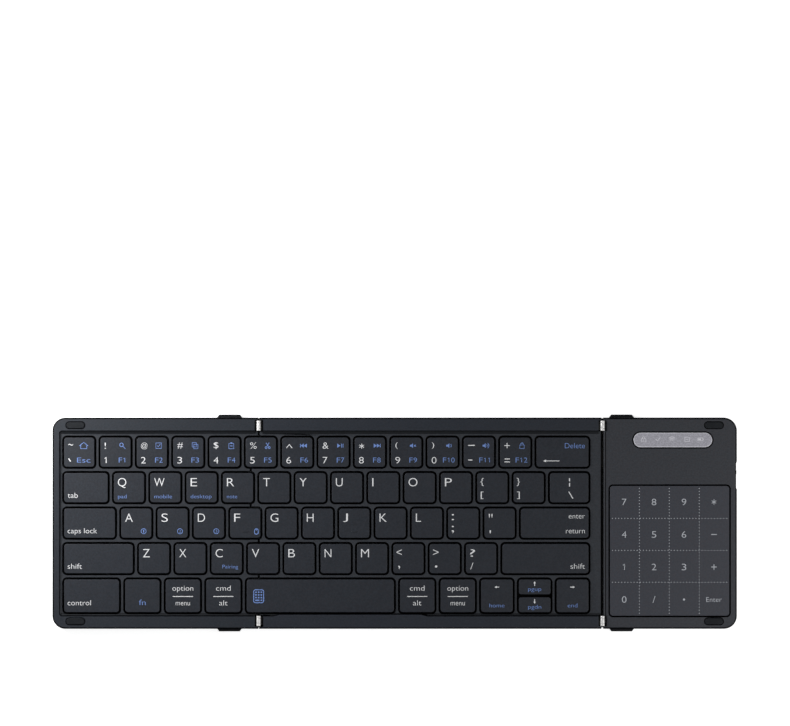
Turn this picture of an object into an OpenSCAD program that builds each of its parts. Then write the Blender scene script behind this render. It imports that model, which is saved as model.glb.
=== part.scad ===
// Folding keyboard: three panels in a row, two fold lines, a key block over the left and
// middle panels and a touch number pad on the right one. It lies open and flat on a desk.
// X runs along the keyboard, +Y is its rear edge and Z is up. The origin is on the desk,
// under the centre of the open keyboard. All sizes are in millimetres.

/* [Key layout] */
// Distance from one letter key to the next along a row
key_pitch = 16.9; // [16:0.1:19]
// Distance from one row of keys to the next
row_pitch = 16.5; // [15.5:0.1:19]
// Depth of the front row, which holds the space bar
front_row_d = 18.1; // [17:0.1:21]
// Width of a full row, counted in letter keys
row_units = 14.6; // [14.5:0.05:15]
// Width of the tab key, counted in letter keys
tab_units = 1.37; // [1.34:0.01:1.42]
// Width of the caps lock key, counted in letter keys
caps_units = 1.57; // [1.54:0.01:1.62]
// Width of the left shift key, counted in letter keys
shift_units = 2.06; // [2.02:0.01:2.1]
// Width of the control key, counted in letter keys
control_units = 1.68; // [1.64:0.01:1.72]
// Width of the modifier keys beside the space bar, counted in letter keys
modifier_units = 1.115; // [1.1:0.005:1.125]
// Width of the space bar, counted in letter keys
space_units = 4.22; // [4.1:0.01:4.26]
// Width of the left, up and down arrow keys, counted in letter keys
arrow_units = 1.04; // [1:0.01:1.06]

/* [Keycaps] */
// Width of the grid bar between two key openings
web = 1.5; // [1.2:0.1:2]
// Gap between a keycap and its opening
key_gap = 0.5; // [0.3:0.05:0.7]
// Corner radius of a keycap
cap_r = 1.5; // [1:0.1:2.2]
// Thickness of a keycap's top
cap_t = 1.1; // [0.8:0.05:1.3]
// Thickness of a keycap's skirt
cap_wall = 0.9; // [0.7:0.05:1.1]
// Height of a keycap from the skirt's edge to its top
cap_h = 2.0; // [1.8:0.05:2.1]
// How far a key travels when it is pressed
key_travel = 1.3; // [1:0.05:1.4]
// How far the keycaps stand below the case's top face
cap_drop = 0.5; // [0.3:0.05:0.7]

/* [Case] */
// Thickness of a panel from the desk to its top face
panel_t = 8.0; // [8:0.1:9.5]
// Height of the feet under the covers
foot_h = 0.6; // [0.4:0.05:1]
// Thickness of the bottom covers
cover_t = 0.8; // [0.7:0.05:1]
// Thickness of the case's outer walls
wall = 1.2; // [1:0.05:1.5]
// Thickness of the walls along the fold lines
fold_wall = 0.8; // [0.6:0.05:0.9]
// Width of the raised strips along the front and rear edges
strip_d = 6.1; // [6:0.1:8]
// Thickness of the raised strips over their hollow
strip_skin = 1.7; // [1.5:0.05:2]
// Depth of the key deck below the top face
deck_drop = 1.4; // [1.2:0.05:1.6]
// Thickness of the key deck
deck_t = 1.0; // [0.8:0.05:1.2]
// Flat margin between the rear strip and the first row
rear_margin = 1.7; // [1.5:0.1:3]
// Flat margin between the front row and the front strip
front_margin = 0.2; // [0.2:0.1:1]
// Width of the raised rim on the left end
rim_w = 3.4; // [3:0.1:5]
// Flat margin between the left rim and the keys
left_margin = 0.6; // [0.5:0.1:1.5]
// Flat margin between the last keys and the right fold
right_margin = 5.1; // [4.8:0.1:7]
// Width of the number pad panel
pad_panel_w = 62.5; // [60.5:0.5:66]
// Corner radius of the outer corners
corner_r = 6; // [5:0.5:7]

/* [Fold lines] */
// Place of the left fold, counted in letter keys from the left end of the rows
fold_units = 5.44; // [5.42:0.01:5.46]
// How far the middle panel's tongues reach past the left fold
tongue_l = 3.75; // [3.7:0.05:3.9]
// Gap between the panels at the left fold
left_fold_gap = 0.4; // [0.3:0.05:0.5]
// Gap between the panels at the right fold
right_fold_gap = 1.0; // [0.6:0.05:1.2]
// Gap between the top faces of two panels that lie folded together
closed_gap = 0.4; // [0.3:0.05:0.6]

/* [Hinges] */
// Radius of the hinge barrels
barrel_r = 1.0; // [0.9:0.05:1.2]
// Radius of the hinge pins
pin_r = 0.5; // [0.4:0.05:0.55]
// Radial play between a pin and the barrel that turns on it
pin_play = 0.03; // [0.02:0.01:0.06]
// Length of a whole hinge barrel
barrel_l = 4.6; // [4.2:0.1:4.7]
// Length of its middle knuckle
middle_knuckle_l = 2.4; // [2:0.1:2.6]
// Gap between two knuckles
knuckle_gap = 0.1; // [0.05:0.05:0.15]
// Half the width of the slot that shows the barrel
slot_half = 1.8; // [1.6:0.05:2]
// Length of the leaf that is screwed into a panel
leaf_l = 8; // [7.5:0.5:10]
// Thickness of a leaf
leaf_t = 0.6; // [0.5:0.05:0.7]

/* [Number pad] */
// Width of the touch surface
pad_w = 55.5; // [52:0.5:56]
// Depth of the touch surface
pad_d = 60.4; // [56:0.2:60.6]
// Gap round the touch surface
pad_gap = 0.4; // [0.3:0.05:0.6]
// Place of the touch surface's centre along X, from the right fold
pad_x = 31.2; // [31:0.1:32]
// Place of the touch surface's front edge, from the front edge of the keyboard
pad_front = 6.1; // [6:0.1:7]
// Thickness of the touch surface
pad_t = 0.9; // [0.7:0.05:0.95]
// Thickness of the number pad panel's top
pad_skin = 1.0; // [1:0.05:1.2]
// Length of the indicator window
window_l = 36.9; // [34:0.1:38]
// Width of the indicator window
window_w = 7.1; // [6:0.1:7.5]
// Place of the indicator window's centre along X, from the right fold
window_x = 32.7; // [31:0.1:33]
// Place of the indicator window's centre, from the rear edge
window_y = 10.35; // [10:0.05:11]

/* [Electronics] */
// Length of the battery
battery_l = 46; // [38:1:48]
// Width of the battery
battery_w = 44; // [36:1:46]
// Thickness of the battery
battery_t = 3.2; // [2.5:0.1:3.6]
// Depth of the main board, from the rear edge towards the front
board_w = 31; // [30:0.5:33]
// Thickness of the main board
board_t = 0.8; // [0.6:0.1:1]
// Height of the main board over the bottom cover
board_rise = 0.8; // [0.6:0.1:0.9]
// Place of the charging socket's centre, from the right fold
socket_x = 31; // [27:0.5:35]
// Place of the power switch's finger scoop, from the rear edge
switch_y = 26.9; // [25.5:0.1:28.5]
// Length of the finger scoop
scoop_l = 13; // [11:0.5:15]
// Depth of the finger scoop
scoop_d = 0.35; // [0.2:0.05:0.4]
// How far the power switch slides
switch_travel = 3.0; // [2:0.1:3.5]

/* [Hidden] */
$fn = 48;
eps = 0.02;
overcut = 1; // how far a cutting tool runs past the face it opens

// Heights
cover_z = foot_h;
inside_z = cover_z + cover_t;
top_z = panel_t;
deck_z = top_z - deck_drop;
axis_z = top_z + closed_gap / 2;
cap_top_z = top_z - cap_drop;
cap_low_z = cap_top_z - cap_h;
cap_clear = 0.2; // room under a pressed keycap's skirt
low_wall_z = cap_low_z - key_travel - cap_clear;
plate_t = 0.4; // steel base plate
membrane_t = 0.3; // switch membrane
dome_sheet_t = 0.2; // rubber sheet that carries the domes
membrane_z = inside_z + plate_t;
dome_z = membrane_z + membrane_t;
scissor_z = dome_z + dome_sheet_t;
cap_roof_z = cap_top_z - cap_t;
strip_roof_z = top_z - strip_skin;

// Plan
block_w = row_units * key_pitch;
block_d = 4 * row_pitch + front_row_d;
body_d = 2 * strip_d + rear_margin + block_d + front_margin;
left_w = rim_w + left_margin + fold_units * key_pitch;
mid_w = (row_units - fold_units) * key_pitch + right_margin;
body_w = left_w + mid_w + pad_panel_w;
left_x = -body_w / 2;
fold_l = left_x + left_w;
fold_r = fold_l + mid_w;
right_x = body_w / 2;
rear_y = body_d / 2;
front_y = -rear_y;
block_x = left_x + rim_w + left_margin;
block_y = rear_y - strip_d - rear_margin;
tongue_x = fold_l - tongue_l;
hole_r = cap_r + key_gap;

// Key rows. Each entry is a key's width in letter keys, and the last key fills the row.
first_units = [1, tab_units, caps_units, shift_units];
letters_in_row = [12, 12, 11, 10];
front_units = [
    control_units, modifier_units, modifier_units, modifier_units, space_units,
    modifier_units, modifier_units, arrow_units, arrow_units
];
function total(v, n) = n <= 0 ? 0 : v[n - 1] + total(v, n - 1);
function before_last(r) =
    r < 4 ? concat([first_units[r]], [for (i = [1:letters_in_row[r]]) 1]) : front_units;
function row(r) = let (u = before_last(r)) concat(u, [row_units - total(u, len(u))]);
last_row = 4;
rows = [for (r = [0:last_row]) row(r)];
space = 4; // place of the space bar in the front row
up_down = 8; // place of the up and down arrows in the front row
left_count = [5, 5, 5, 4, 4]; // keys of each row that the left panel carries
function row_d(r) = r < 4 ? row_pitch : front_row_d;
function row_rear(r) = block_y - r * row_pitch;
function row_front(r) = row_rear(r) - row_d(r);
function cell_x(r, i) = block_x + key_pitch * total(rows[r], i);
function cell_w(r, i) = key_pitch * rows[r][i];
function cell_mid(r, i) = [cell_x(r, i) + cell_w(r, i) / 2, row_rear(r) - row_d(r) / 2];
function is_left(r, i) = i < left_count[r];
function is_halved(r, i) = r == 4 && i == up_down;
cap_inset = web / 2 + key_gap;
half_cap_d = (front_row_d - 2 * cap_inset - 2 * key_gap) / 2; // up and down arrows
half_cap_y = (half_cap_d + 2 * key_gap) / 2;

// Rounded rectangle about the origin, with true arcs
module rounded(w, d, r) {
    square([w - 2 * r, d], center = true);
    square([w, d - 2 * r], center = true);
    for (x = [-1, 1], y = [-1, 1])
        translate([x * (w / 2 - r), y * (d / 2 - r)]) circle(r);
}

module slab(x0, x1, y0, y1, z0, z1) {
    translate([x0, y0, z0]) cube([x1 - x0, y1 - y0, z1 - z0]);
}

// ---- Plans of the panels ----
// The middle panel's tongues reach past the left fold, under those of its keys that hang over
// the left panel. Each is [rear end, front end], and its ends lie inside key openings.
tongue_inset = web / 2 + left_fold_gap / 2 + 0.05;
tongue_ends = [
    [row_rear(0) - tongue_inset, row_rear(2) - tongue_inset],
    [row_rear(3) - tongue_inset, row_front(3) + tongue_inset],
    [row_rear(4) - tongue_inset, row_front(4) + tongue_inset]
];

// The tongues, grown on every side
module tongues(grow, reach = 0) {
    for (t = tongue_ends)
        translate([tongue_x - grow, t[1] - grow])
            square([fold_l - tongue_x + grow + reach, t[0] - t[1] + 2 * grow]);
}

module left_plan() {
    edge = fold_l - left_fold_gap / 2;
    difference() {
        union() {
            translate([left_x + corner_r, front_y]) square([edge - left_x - corner_r, body_d]);
            translate([left_x, front_y + corner_r]) square([edge - left_x, body_d - 2 * corner_r]);
            for (y = [-1, 1])
                translate([left_x + corner_r, y * (rear_y - corner_r)]) circle(corner_r);
        }
        tongues(left_fold_gap / 2, overcut);
    }
}

module mid_plan() {
    edge = fold_l + left_fold_gap / 2;
    translate([edge, front_y]) square([fold_r - right_fold_gap / 2 - edge, body_d]);
    tongues(-left_fold_gap / 2, left_fold_gap + overcut);
}

module right_plan() {
    edge = fold_r + right_fold_gap / 2;
    translate([edge, front_y]) square([right_x - corner_r - edge, body_d]);
    translate([edge, front_y + corner_r]) square([right_x - edge, body_d - 2 * corner_r]);
    for (y = [-1, 1])
        translate([right_x - corner_r, y * (rear_y - corner_r)]) circle(corner_r);
}

// Hollows of the two key panels, or what lies in them with some play left round it
module left_hollow(play = 0) {
    edge = fold_l - left_fold_gap / 2 - fold_wall - play;
    side = left_x + wall + play;
    y = rear_y - wall - play;
    r = corner_r - wall;
    difference() {
        union() {
            translate([side + r, -y]) square([edge - side - r, 2 * y]);
            translate([side, -y + r]) square([edge - side, 2 * (y - r)]);
            for (s = [-1, 1]) translate([side + r, s * (y - r)]) circle(r);
        }
        tongues(left_fold_gap / 2 + fold_wall + play, overcut);
    }
}

module mid_hollow(play = 0) {
    edge = fold_l + left_fold_gap / 2 + fold_wall + play;
    y = rear_y - wall - play;
    translate([edge, -y])
        square([fold_r - right_fold_gap / 2 - fold_wall - play - edge, 2 * y]);
    tongues(-left_fold_gap / 2 - fold_wall - play, left_fold_gap + fold_wall + overcut);
}

// Key openings of the whole block. They also clear each key's way down.
module key_openings() {
    for (r = [0:last_row], i = [0:len(rows[r]) - 1])
        translate(concat(cell_mid(r, i), [low_wall_z]))
            linear_extrude(top_z - low_wall_z)
                rounded(cell_w(r, i) - web, row_d(r) - web, hole_r);
}

// The left panel's fold wall is low under the keys that hang over it, so that it swings clear
// of them as it folds.
swing_gap = 0.12;
module hanging_key_clearance() {
    for (r = [0:last_row]) {
        reach = fold_l - cell_x(r, left_count[r]) - cap_inset;
        swing = norm([reach, axis_z - cap_low_z]) + swing_gap;
        if (reach > 0)
            slab(fold_l - swing, fold_l, row_front(r) + web / 2, row_rear(r) - web / 2,
                axis_z - sqrt(max(0, pow(swing, 2) - pow(tongue_l, 2))), low_wall_z + eps);
    }
}

// Band of the plan between the two raised strips
module between_strips(inset, z0, z1) {
    y = rear_y - strip_d + inset;
    slab(left_x, right_x, -y, y, z0, z1);
}

// ---- Hinges: a barrel on the fold line in each strip ----
slot_play = 0.15; // between the ends of a barrel and its slot, which keep the pin in
hinge_y = rear_y - strip_d + barrel_l / 2 + slot_play - 0.05; // its slot opens into the recess
leaf_w = barrel_l - 0.8;
leaf_z = strip_roof_z - leaf_t;
neck_t = 0.9;
neck_gap = 0.1;
outer_knuckle_l = (barrel_l - middle_knuckle_l) / 2 - knuckle_gap;
screw_r = 0.6;
screw_play = 0.05;
screw_head_t = 0.5;
leaf_screw_x = [leaf_l - 4.8, leaf_l - 1.8]; // from the fold line
leaf_screw_bite = 1; // how far a leaf screw goes into the strip

// Slots in a panel's strips for the hinges on the fold line at x. They also cut the wall there.
module hinge_slots(x) {
    for (s = [-1, 1])
        translate([x, s * hinge_y, 0])
            slab(-slot_half, slot_half, -barrel_l / 2 - slot_play, barrel_l / 2 + slot_play,
                leaf_z - slot_play, top_z + overcut);
}

// Knuckles of a leaf, as [middle of the knuckle, length] along the barrel
side_knuckles = [for (s = [-1, 1]) [s * (barrel_l - outer_knuckle_l) / 2, outer_knuckle_l]];
mid_knuckles = [[0, middle_knuckle_l]];

// One hinge leaf. It reaches along +X for side 1 and along -X for side -1.
module hinge_leaf(x, side, knuckles) {
    for (s = [-1, 1])
        translate([x, s * hinge_y, 0])
            difference() {
                union() {
                    for (k = knuckles) {
                        translate([0, k[0], axis_z]) rotate([90, 0, 0])
                            cylinder(r = barrel_r, h = k[1], center = true);
                        translate([side > 0 ? neck_gap : -neck_gap - neck_t, k[0] - k[1] / 2, leaf_z])
                            cube([neck_t, k[1], axis_z - leaf_z]);
                    }
                    translate([side > 0 ? neck_gap : -leaf_l, -leaf_w / 2, leaf_z])
                        cube([leaf_l - neck_gap, leaf_w, leaf_t]);
                }
                translate([0, 0, axis_z]) rotate([90, 0, 0])
                    cylinder(r = pin_r + pin_play, h = barrel_l + overcut, center = true);
                for (dx = leaf_screw_x)
                    translate([side * dx, 0, leaf_z - overcut])
                        cylinder(r = screw_r + screw_play, h = leaf_t + 2 * overcut);
            }
}

module hinge_pins(x) {
    for (s = [-1, 1])
        translate([x, s * hinge_y, axis_z]) rotate([90, 0, 0])
            cylinder(r = pin_r, h = barrel_l, center = true);
}

// Screw holes and screws of the leaves
module leaf_screw_holes(x, side) {
    for (s = [-1, 1], dx = leaf_screw_x)
        translate([x + side * dx, s * hinge_y, strip_roof_z - eps])
            cylinder(r = screw_r + screw_play, h = leaf_screw_bite + 0.2);
}

module leaf_screws(x, side) {
    for (s = [-1, 1], dx = leaf_screw_x)
        translate([x + side * dx, s * hinge_y, leaf_z - screw_head_t]) {
            cylinder(r = 2 * screw_r, h = screw_head_t);
            cylinder(r = screw_r, h = screw_head_t + leaf_t + leaf_screw_bite);
        }
}

// ---- Cover screws, their bosses and holes ----
boss_r = 1.8;
boss_y = rear_y - wall - boss_r - 0.3;
boss_hole_l = 3.6;
fold_screw_x = 24; // from a fold to the nearest cover screws of the key panels
end_screw_x = 16; // from the left end
pad_screw_x = 19; // from the fold and from the right end
left_screw_x = [left_x + end_screw_x, fold_l - fold_screw_x];
mid_screw_x = [fold_l + fold_screw_x, (fold_l + fold_r) / 2, fold_r - fold_screw_x];
right_screw_x = [fold_r + pad_screw_x, right_x - pad_screw_x];

module at_screws(xs) {
    for (x = xs, s = [-1, 1]) translate([x, s * boss_y]) children();
}

module bosses(xs) {
    at_screws(xs) translate([0, 0, inside_z])
        difference() {
            cylinder(r = boss_r, h = strip_roof_z - inside_z + eps);
            translate([0, 0, -eps]) cylinder(r = screw_r + screw_play, h = boss_hole_l);
        }
}

head_r = 1.4;
head_t = 0.45;

module cover_screws(xs) {
    at_screws(xs) translate([0, 0, cover_z]) {
        cylinder(r = head_r, h = head_t);
        cylinder(r = screw_r, h = cover_t + boss_hole_l - 0.3);
    }
}

module cover_holes(xs) {
    at_screws(xs) {
        translate([0, 0, cover_z - eps]) cylinder(r = head_r + screw_play, h = head_t + eps);
        cylinder(r = screw_r + screw_play, h = inside_z + overcut);
    }
}

// ---- Flat flex cables across the folds ----
flex_t = 0.2;
flex_z = deck_z - deck_t - 0.5;
flex_play = 0.2;
left_flex_w = rear_margin;
// behind the wall round the rear tongue
left_flex_y = tongue_ends[0][0] + left_fold_gap / 2 + fold_wall + flex_play + left_flex_w / 2;
left_flex_steps = [6, 10, 14]; // from the fold to the ends of its high, sloping and low runs
right_flex_w = 8;
right_flex_y = rear_y - 19;
right_flex_steps = [2.2, 3.8]; // from the fold to its slope's ends, in the middle panel
right_flex_run = 3; // from the fold to the end of its high run, in the right panel
flex_end_play = 0.1;
flex_overlap = 0.5; // of its low run and the main board's edge

module flex_slot(x, y, w, gap) {
    reach = gap / 2 + fold_wall + 2 * flex_play;
    slab(x - reach, x + reach, y - w / 2 - flex_play, y + w / 2 + flex_play,
        flex_z - flex_play, flex_z + flex_t + flex_play);
}

// A ribbon along a path of [x, z] points, as thick as a flex cable
module ribbon(path, y, w) {
    translate([0, y + w / 2, 0]) rotate([90, 0, 0])
        linear_extrude(w)
            polygon(concat(path, [for (i = [len(path) - 1:-1:0]) path[i] + [0, flex_t]]));
}

module left_flex_cable() {
    color("#b5701f")
        ribbon([
            [fold_l - left_flex_steps[2], dome_z], [fold_l - left_flex_steps[1], dome_z],
            [fold_l - left_flex_steps[0], flex_z], [fold_l + left_flex_steps[0], flex_z],
            [fold_l + left_flex_steps[1], dome_z], [fold_l + left_flex_steps[2], dome_z]
        ], left_flex_y, left_flex_w);
}

module right_flex_cable() {
    color("#b5701f")
        ribbon([
            [fold_r - right_margin + flex_end_play, dome_z],
            [fold_r - right_flex_steps[1], dome_z], [fold_r - right_flex_steps[0], flex_z],
            [fold_r + right_flex_run, flex_z], [board_x + flex_overlap, board_top_z],
            [flex_plug_x, board_top_z]
        ], right_flex_y, right_flex_w);
}

// ---- Frames of the two key panels ----
strip_wall = 0.4; // between the hollow under a strip and the recess beside it

module key_frame_hollow() {
    translate([0, 0, inside_z - eps]) linear_extrude(deck_z - deck_t - inside_z + eps) children();
    difference() {
        translate([0, 0, inside_z - eps]) linear_extrude(strip_roof_z - inside_z + eps) children();
        between_strips(strip_wall, 0, top_z);
    }
}

recess_r = 1.2;

module left_recess() {
    x = left_x + rim_w;
    y = rear_y - strip_d;
    translate([0, 0, deck_z]) linear_extrude(deck_drop + overcut) {
        translate([x + recess_r, -y]) square([fold_l - x, 2 * y]);
        translate([x, -y + recess_r]) square([fold_l - x, 2 * (y - recess_r)]);
        for (s = [-1, 1]) translate([x + recess_r, s * (y - recess_r)]) circle(recess_r);
    }
}

module left_frame() {
    color("#34373c") {
        difference() {
            translate([0, 0, inside_z]) linear_extrude(top_z - inside_z) left_plan();
            key_frame_hollow() left_hollow();
            left_recess();
            key_openings();
            hanging_key_clearance();
            hinge_slots(fold_l);
            leaf_screw_holes(fold_l, -1);
            flex_slot(fold_l, left_flex_y, left_flex_w, left_fold_gap);
            bumper_pockets([left_x + bumper_x]);
        }
        bosses(left_screw_x);
    }
}

// The front strip reaches in towards the space bar over this stretch
lip_x0 = fold_l + 9.5;
lip_x1 = fold_l + 75.5;
lip_ramp = 3;
lip_d = front_margin + web / 2 - 0.15;

module front_lip() {
    y = front_y + strip_d - eps;
    translate([0, 0, deck_z - eps]) linear_extrude(deck_drop + eps)
        polygon([
            [lip_x0 - lip_ramp, y], [lip_x1 + lip_ramp, y],
            [lip_x1, y + lip_d], [lip_x0, y + lip_d]
        ]);
}

module mid_frame() {
    color("#303338") {
        difference() {
            translate([0, 0, inside_z]) linear_extrude(top_z - inside_z) mid_plan();
            key_frame_hollow() mid_hollow();
            difference() {
                between_strips(0, deck_z, top_z + overcut);
                front_lip();
            }
            key_openings();
            hinge_slots(fold_l);
            hinge_slots(fold_r);
            leaf_screw_holes(fold_l, 1);
            leaf_screw_holes(fold_r, -1);
            flex_slot(fold_l, left_flex_y, left_flex_w, left_fold_gap);
            flex_slot(fold_r, right_flex_y, right_flex_w, right_fold_gap);
        }
        bosses(mid_screw_x);
    }
}

// ---- Layers under the keys ----
layer_play = 0.2;

module key_layer(z, t) {
    y = rear_y - strip_d + 0.1;
    translate([0, 0, z]) linear_extrude(t)
        intersection() {
            children();
            translate([left_x, -y]) square([body_w, 2 * y]);
        }
}

module left_base_plate() { color("#8d9196") key_layer(inside_z, plate_t) left_hollow(layer_play); }
module mid_base_plate() { color("#8d9196") key_layer(inside_z, plate_t) mid_hollow(layer_play); }
module left_membrane() { color("#c9d3d6") key_layer(membrane_z, membrane_t) left_hollow(layer_play); }
module mid_membrane() { color("#c9d3d6") key_layer(membrane_z, membrane_t) mid_hollow(layer_play); }

// One entry for each keycap of a panel: its centre, whether it is a half key, and whether it is
// the space bar
function cap_spots(left) = [
    for (r = [0:last_row], i = [0:len(rows[r]) - 1])
        if (is_left(r, i) == left)
            for (s = is_halved(r, i) ? [-1, 1] : [0])
                [cell_mid(r, i) + [0, s * half_cap_y], s != 0, r == 4 && i == space]
];

dome_r = 2.2;
dome_tip_r = 1.3;
dome_skin = 0.5;
dome_plunger = 1.1; // solid height at a dome's tip
half_dome = 0.45; // the arrows' small solid domes, as a share of a full one
dome_h = cap_roof_z - dome_z;

module domes(left) {
    spots = cap_spots(left);
    difference() {
        union() {
            translate([0, 0, dome_z]) linear_extrude(dome_sheet_t)
                intersection() {
                    if (left) left_hollow(layer_play);
                    else mid_hollow(layer_play);
                    translate([block_x, row_front(last_row) + web / 2])
                        square([block_w, block_d - web]);
                }
            for (s = spots) {
                size = s[1] ? half_dome : 1;
                translate([s[0][0], s[0][1], dome_z])
                    cylinder(r1 = size * dome_r, r2 = size * dome_tip_r, h = dome_h);
            }
        }
        for (s = spots)
            if (!s[1])
                translate([s[0][0], s[0][1], dome_z - eps])
                    cylinder(r1 = dome_r - dome_skin, r2 = dome_tip_r - dome_skin,
                        h = dome_h - dome_plunger);
    }
}

module left_domes() { color("#e4e2dc") domes(true); }
module mid_domes() { color("#e4e2dc") domes(false); }

// ---- Scissor links: an outer and an inner frame that cross under each keycap ----
link_l = 6.4; // along the slope, between the middles of the end bars
link_t = 0.8;
bar_t = 0.6;
link_w = 0.9;
half_link_w = 0.6; // under the half keys
link_gap = 0.15; // between the outer and the inner frame
outer_link_y = 4.1;
half_outer_link_y = 2.3;
link_rise = cap_roof_z - scissor_z - link_t;
link_angle = asin(link_rise / link_l);
link_z = (cap_roof_z + scissor_z) / 2;
pivot_r = 0.2;
pivot_play = 0.05;
space_link_x = 18; // from the middle of the space bar to its two links

// One sloping frame. Its two arms lie at +-y and its end bars join them.
module link_frame(angle, y, w) {
    translate([0, 0, link_z]) rotate([0, angle, 0])
        for (s = [-1, 1]) {
            translate([0, s * y, 0]) cube([link_l, w, link_t], center = true);
            translate([s * link_l / 2, 0, 0]) cube([bar_t, 2 * y + w, bar_t], center = true);
        }
}

// Cylinders of length l along Y at +-y, where the two frames cross
module pivots(r, y, l) {
    for (s = [-1, 1])
        translate([0, s * y, link_z]) rotate([90, 0, 0])
            cylinder(r = r, h = l, center = true, $fn = 16);
}

module scissor(half) {
    w = half ? half_link_w : link_w;
    outer_y = half ? half_outer_link_y : outer_link_y;
    inner_y = outer_y - w - link_gap;
    difference() {
        link_frame(link_angle, outer_y, w);
        pivots(pivot_r + pivot_play, outer_y, 2 * w);
    }
    link_frame(-link_angle, inner_y, w);
    pivots(pivot_r, (inner_y + outer_y + w / 2) / 2, outer_y + w / 2 - inner_y);
}

module scissors(left) {
    for (s = cap_spots(left), dx = s[2] ? [-space_link_x, space_link_x] : [0])
        translate([s[0][0] + dx, s[0][1], 0]) scissor(s[1]);
}

module left_scissors() { color("#dcdcd8") scissors(true); }
module mid_scissors() { color("#dcdcd8") scissors(false); }

// ---- Keycaps ----
homing_bar_l = 2.8;
homing_bar_d = 0.5;
homing_bar_h = 0.25;
homing_bar_y = 0.24 * row_pitch; // from the middle of the key towards the front
half_cap_r = 1.2;

module keycap(w, d, r = cap_r) {
    translate([0, 0, cap_low_z])
        difference() {
            linear_extrude(cap_h) rounded(w, d, r);
            translate([0, 0, -eps]) linear_extrude(cap_h - cap_t + eps)
                rounded(w - 2 * cap_wall, d - 2 * cap_wall, r - cap_wall);
        }
}

// Keycaps of row r, from key a to key b
module caps(r, a, b) {
    color("#2b2e32")
        for (i = [a:b])
            translate(cell_mid(r, i))
                keycap(cell_w(r, i) - 2 * cap_inset, row_d(r) - 2 * cap_inset);
}

module last_cap(r) {
    last = len(rows[r]) - 1;
    caps(r, last, last);
}

// F and J carry a small raised bar
module homing_bar(i) {
    color("#2b2e32")
        translate(concat(cell_mid(2, i) - [0, homing_bar_y], [cap_top_z]))
            cube([homing_bar_l, homing_bar_d, 2 * homing_bar_h], center = true);
}

module half_cap(s) {
    color("#2b2e32")
        translate(cell_mid(4, up_down) + [0, s * half_cap_y])
            keycap(cell_w(4, up_down) - 2 * cap_inset, half_cap_d, half_cap_r);
}

// ---- Feet and bumpers ----
foot_l = 14;
foot_w = 5;
foot_inset = 12;
bar_w = 11.6;
bar_reach = 1.4; // how far a foot bar stands out past the front and rear edges
bar_up = 3.2;
bar_bevel = 1.0;
left_bar_x = fold_l - 7.9 - bar_w / 2;
right_bar_x = fold_r + 3.3 + bar_w / 2;

module foot(x, y) {
    translate([x, y, 0]) linear_extrude(foot_h) rounded(foot_l, foot_w, foot_w / 2 - eps);
}

// A bar under the whole depth of a panel, with an end that hooks over each edge
module foot_bar(x) {
    translate([x - bar_w / 2, front_y, 0]) cube([bar_w, body_d, foot_h]);
    for (s = [-1, 1])
        linear_extrude(bar_up)
            polygon([
                [x - bar_w / 2, s * rear_y], [x + bar_w / 2, s * rear_y],
                [x + bar_w / 2 - bar_bevel, s * (rear_y + bar_reach)],
                [x - bar_w / 2 + bar_bevel, s * (rear_y + bar_reach)]
            ]);
}

foot_y = rear_y - 13;
module left_feet() {
    color("#1b1c1e") {
        foot_bar(left_bar_x);
        for (s = [-1, 1]) foot(left_x + foot_inset, s * foot_y);
    }
}
module mid_feet() {
    color("#1b1c1e")
        for (x = [fold_l + foot_inset, fold_r - foot_inset], s = [-1, 1]) foot(x, s * foot_y);
}
module right_feet() {
    color("#1b1c1e") {
        foot_bar(right_bar_x);
        for (s = [-1, 1]) foot(right_x - foot_inset, s * foot_y);
    }
}

bumper_l = 8.7;
bumper_w = 3.1;
bumper_x = 10.7;
bumper_y = rear_y - 3.5;
bumper_deep = 1.0;
bumper_proud = 0.25;
bumper_play = 0.1;

module at_bumpers(xs) {
    for (x = xs, s = [-1, 1]) translate([x, s * bumper_y, top_z - bumper_deep]) children();
}
module bumper_pockets(xs) {
    at_bumpers(xs) linear_extrude(bumper_deep + overcut)
        rounded(bumper_l, bumper_w, bumper_w / 2 - eps);
}
module bumpers(xs) {
    at_bumpers(xs) linear_extrude(bumper_deep + bumper_proud)
        rounded(bumper_l - 2 * bumper_play, bumper_w - 2 * bumper_play,
            bumper_w / 2 - bumper_play - eps);
}
module left_bumpers() { color("#17181a") bumpers([left_x + bumper_x]); }
module right_bumpers() { color("#17181a") bumpers([right_x - bumper_x]); }

// ---- Bottom covers ----
module left_bottom_cover() {
    color("#2a2c30") difference() {
        translate([0, 0, cover_z]) linear_extrude(cover_t) left_plan();
        cover_holes(left_screw_x);
    }
}
module mid_bottom_cover() {
    color("#2a2c30") difference() {
        translate([0, 0, cover_z]) linear_extrude(cover_t) mid_plan();
        cover_holes(mid_screw_x);
    }
}

// ---- Number pad panel ----
pad_y = front_y + pad_front + pad_d / 2;
pad_hollow_z = top_z - pad_skin;
pad_r = 1.4;
board_z = inside_z + board_rise;
board_top_z = board_z + board_t;
board_x = fold_r + 6;
board_play = 0.6; // between the main board and the walls round it
board_front = rear_y - wall - board_play - board_w;
post_r = 1.2;
post_inset = 2.5;
flex_plug_x = board_x + 4;
flex_plug = [2.5, 9, 1.2];
socket_w = 8.94;
socket_h = 3.26;
socket_l = 7.4;
socket_shell = 0.3;
socket_play = 0.3;
socket_back_t = 1;
socket_inset = 0.3; // from the rear edge to the socket's mouth
socket_z = board_top_z + socket_h / 2;
socket_tongue = [6.7, 0.7];
window_t = 0.7;
window_play = 0.1;
window_sink = 0.05; // how far the window lies below the top face
guide_w = 3.6;
guide_l = window_l - 6;
guide_t = 1.2;
guide_r = 0.9;
lamps = 5;
lamp = [1.6, 1.2, 0.6];
lamp_gap = 0.1;
pillar_r = 1.2;
switch_body = [2.2, 8, 2.6];
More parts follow.
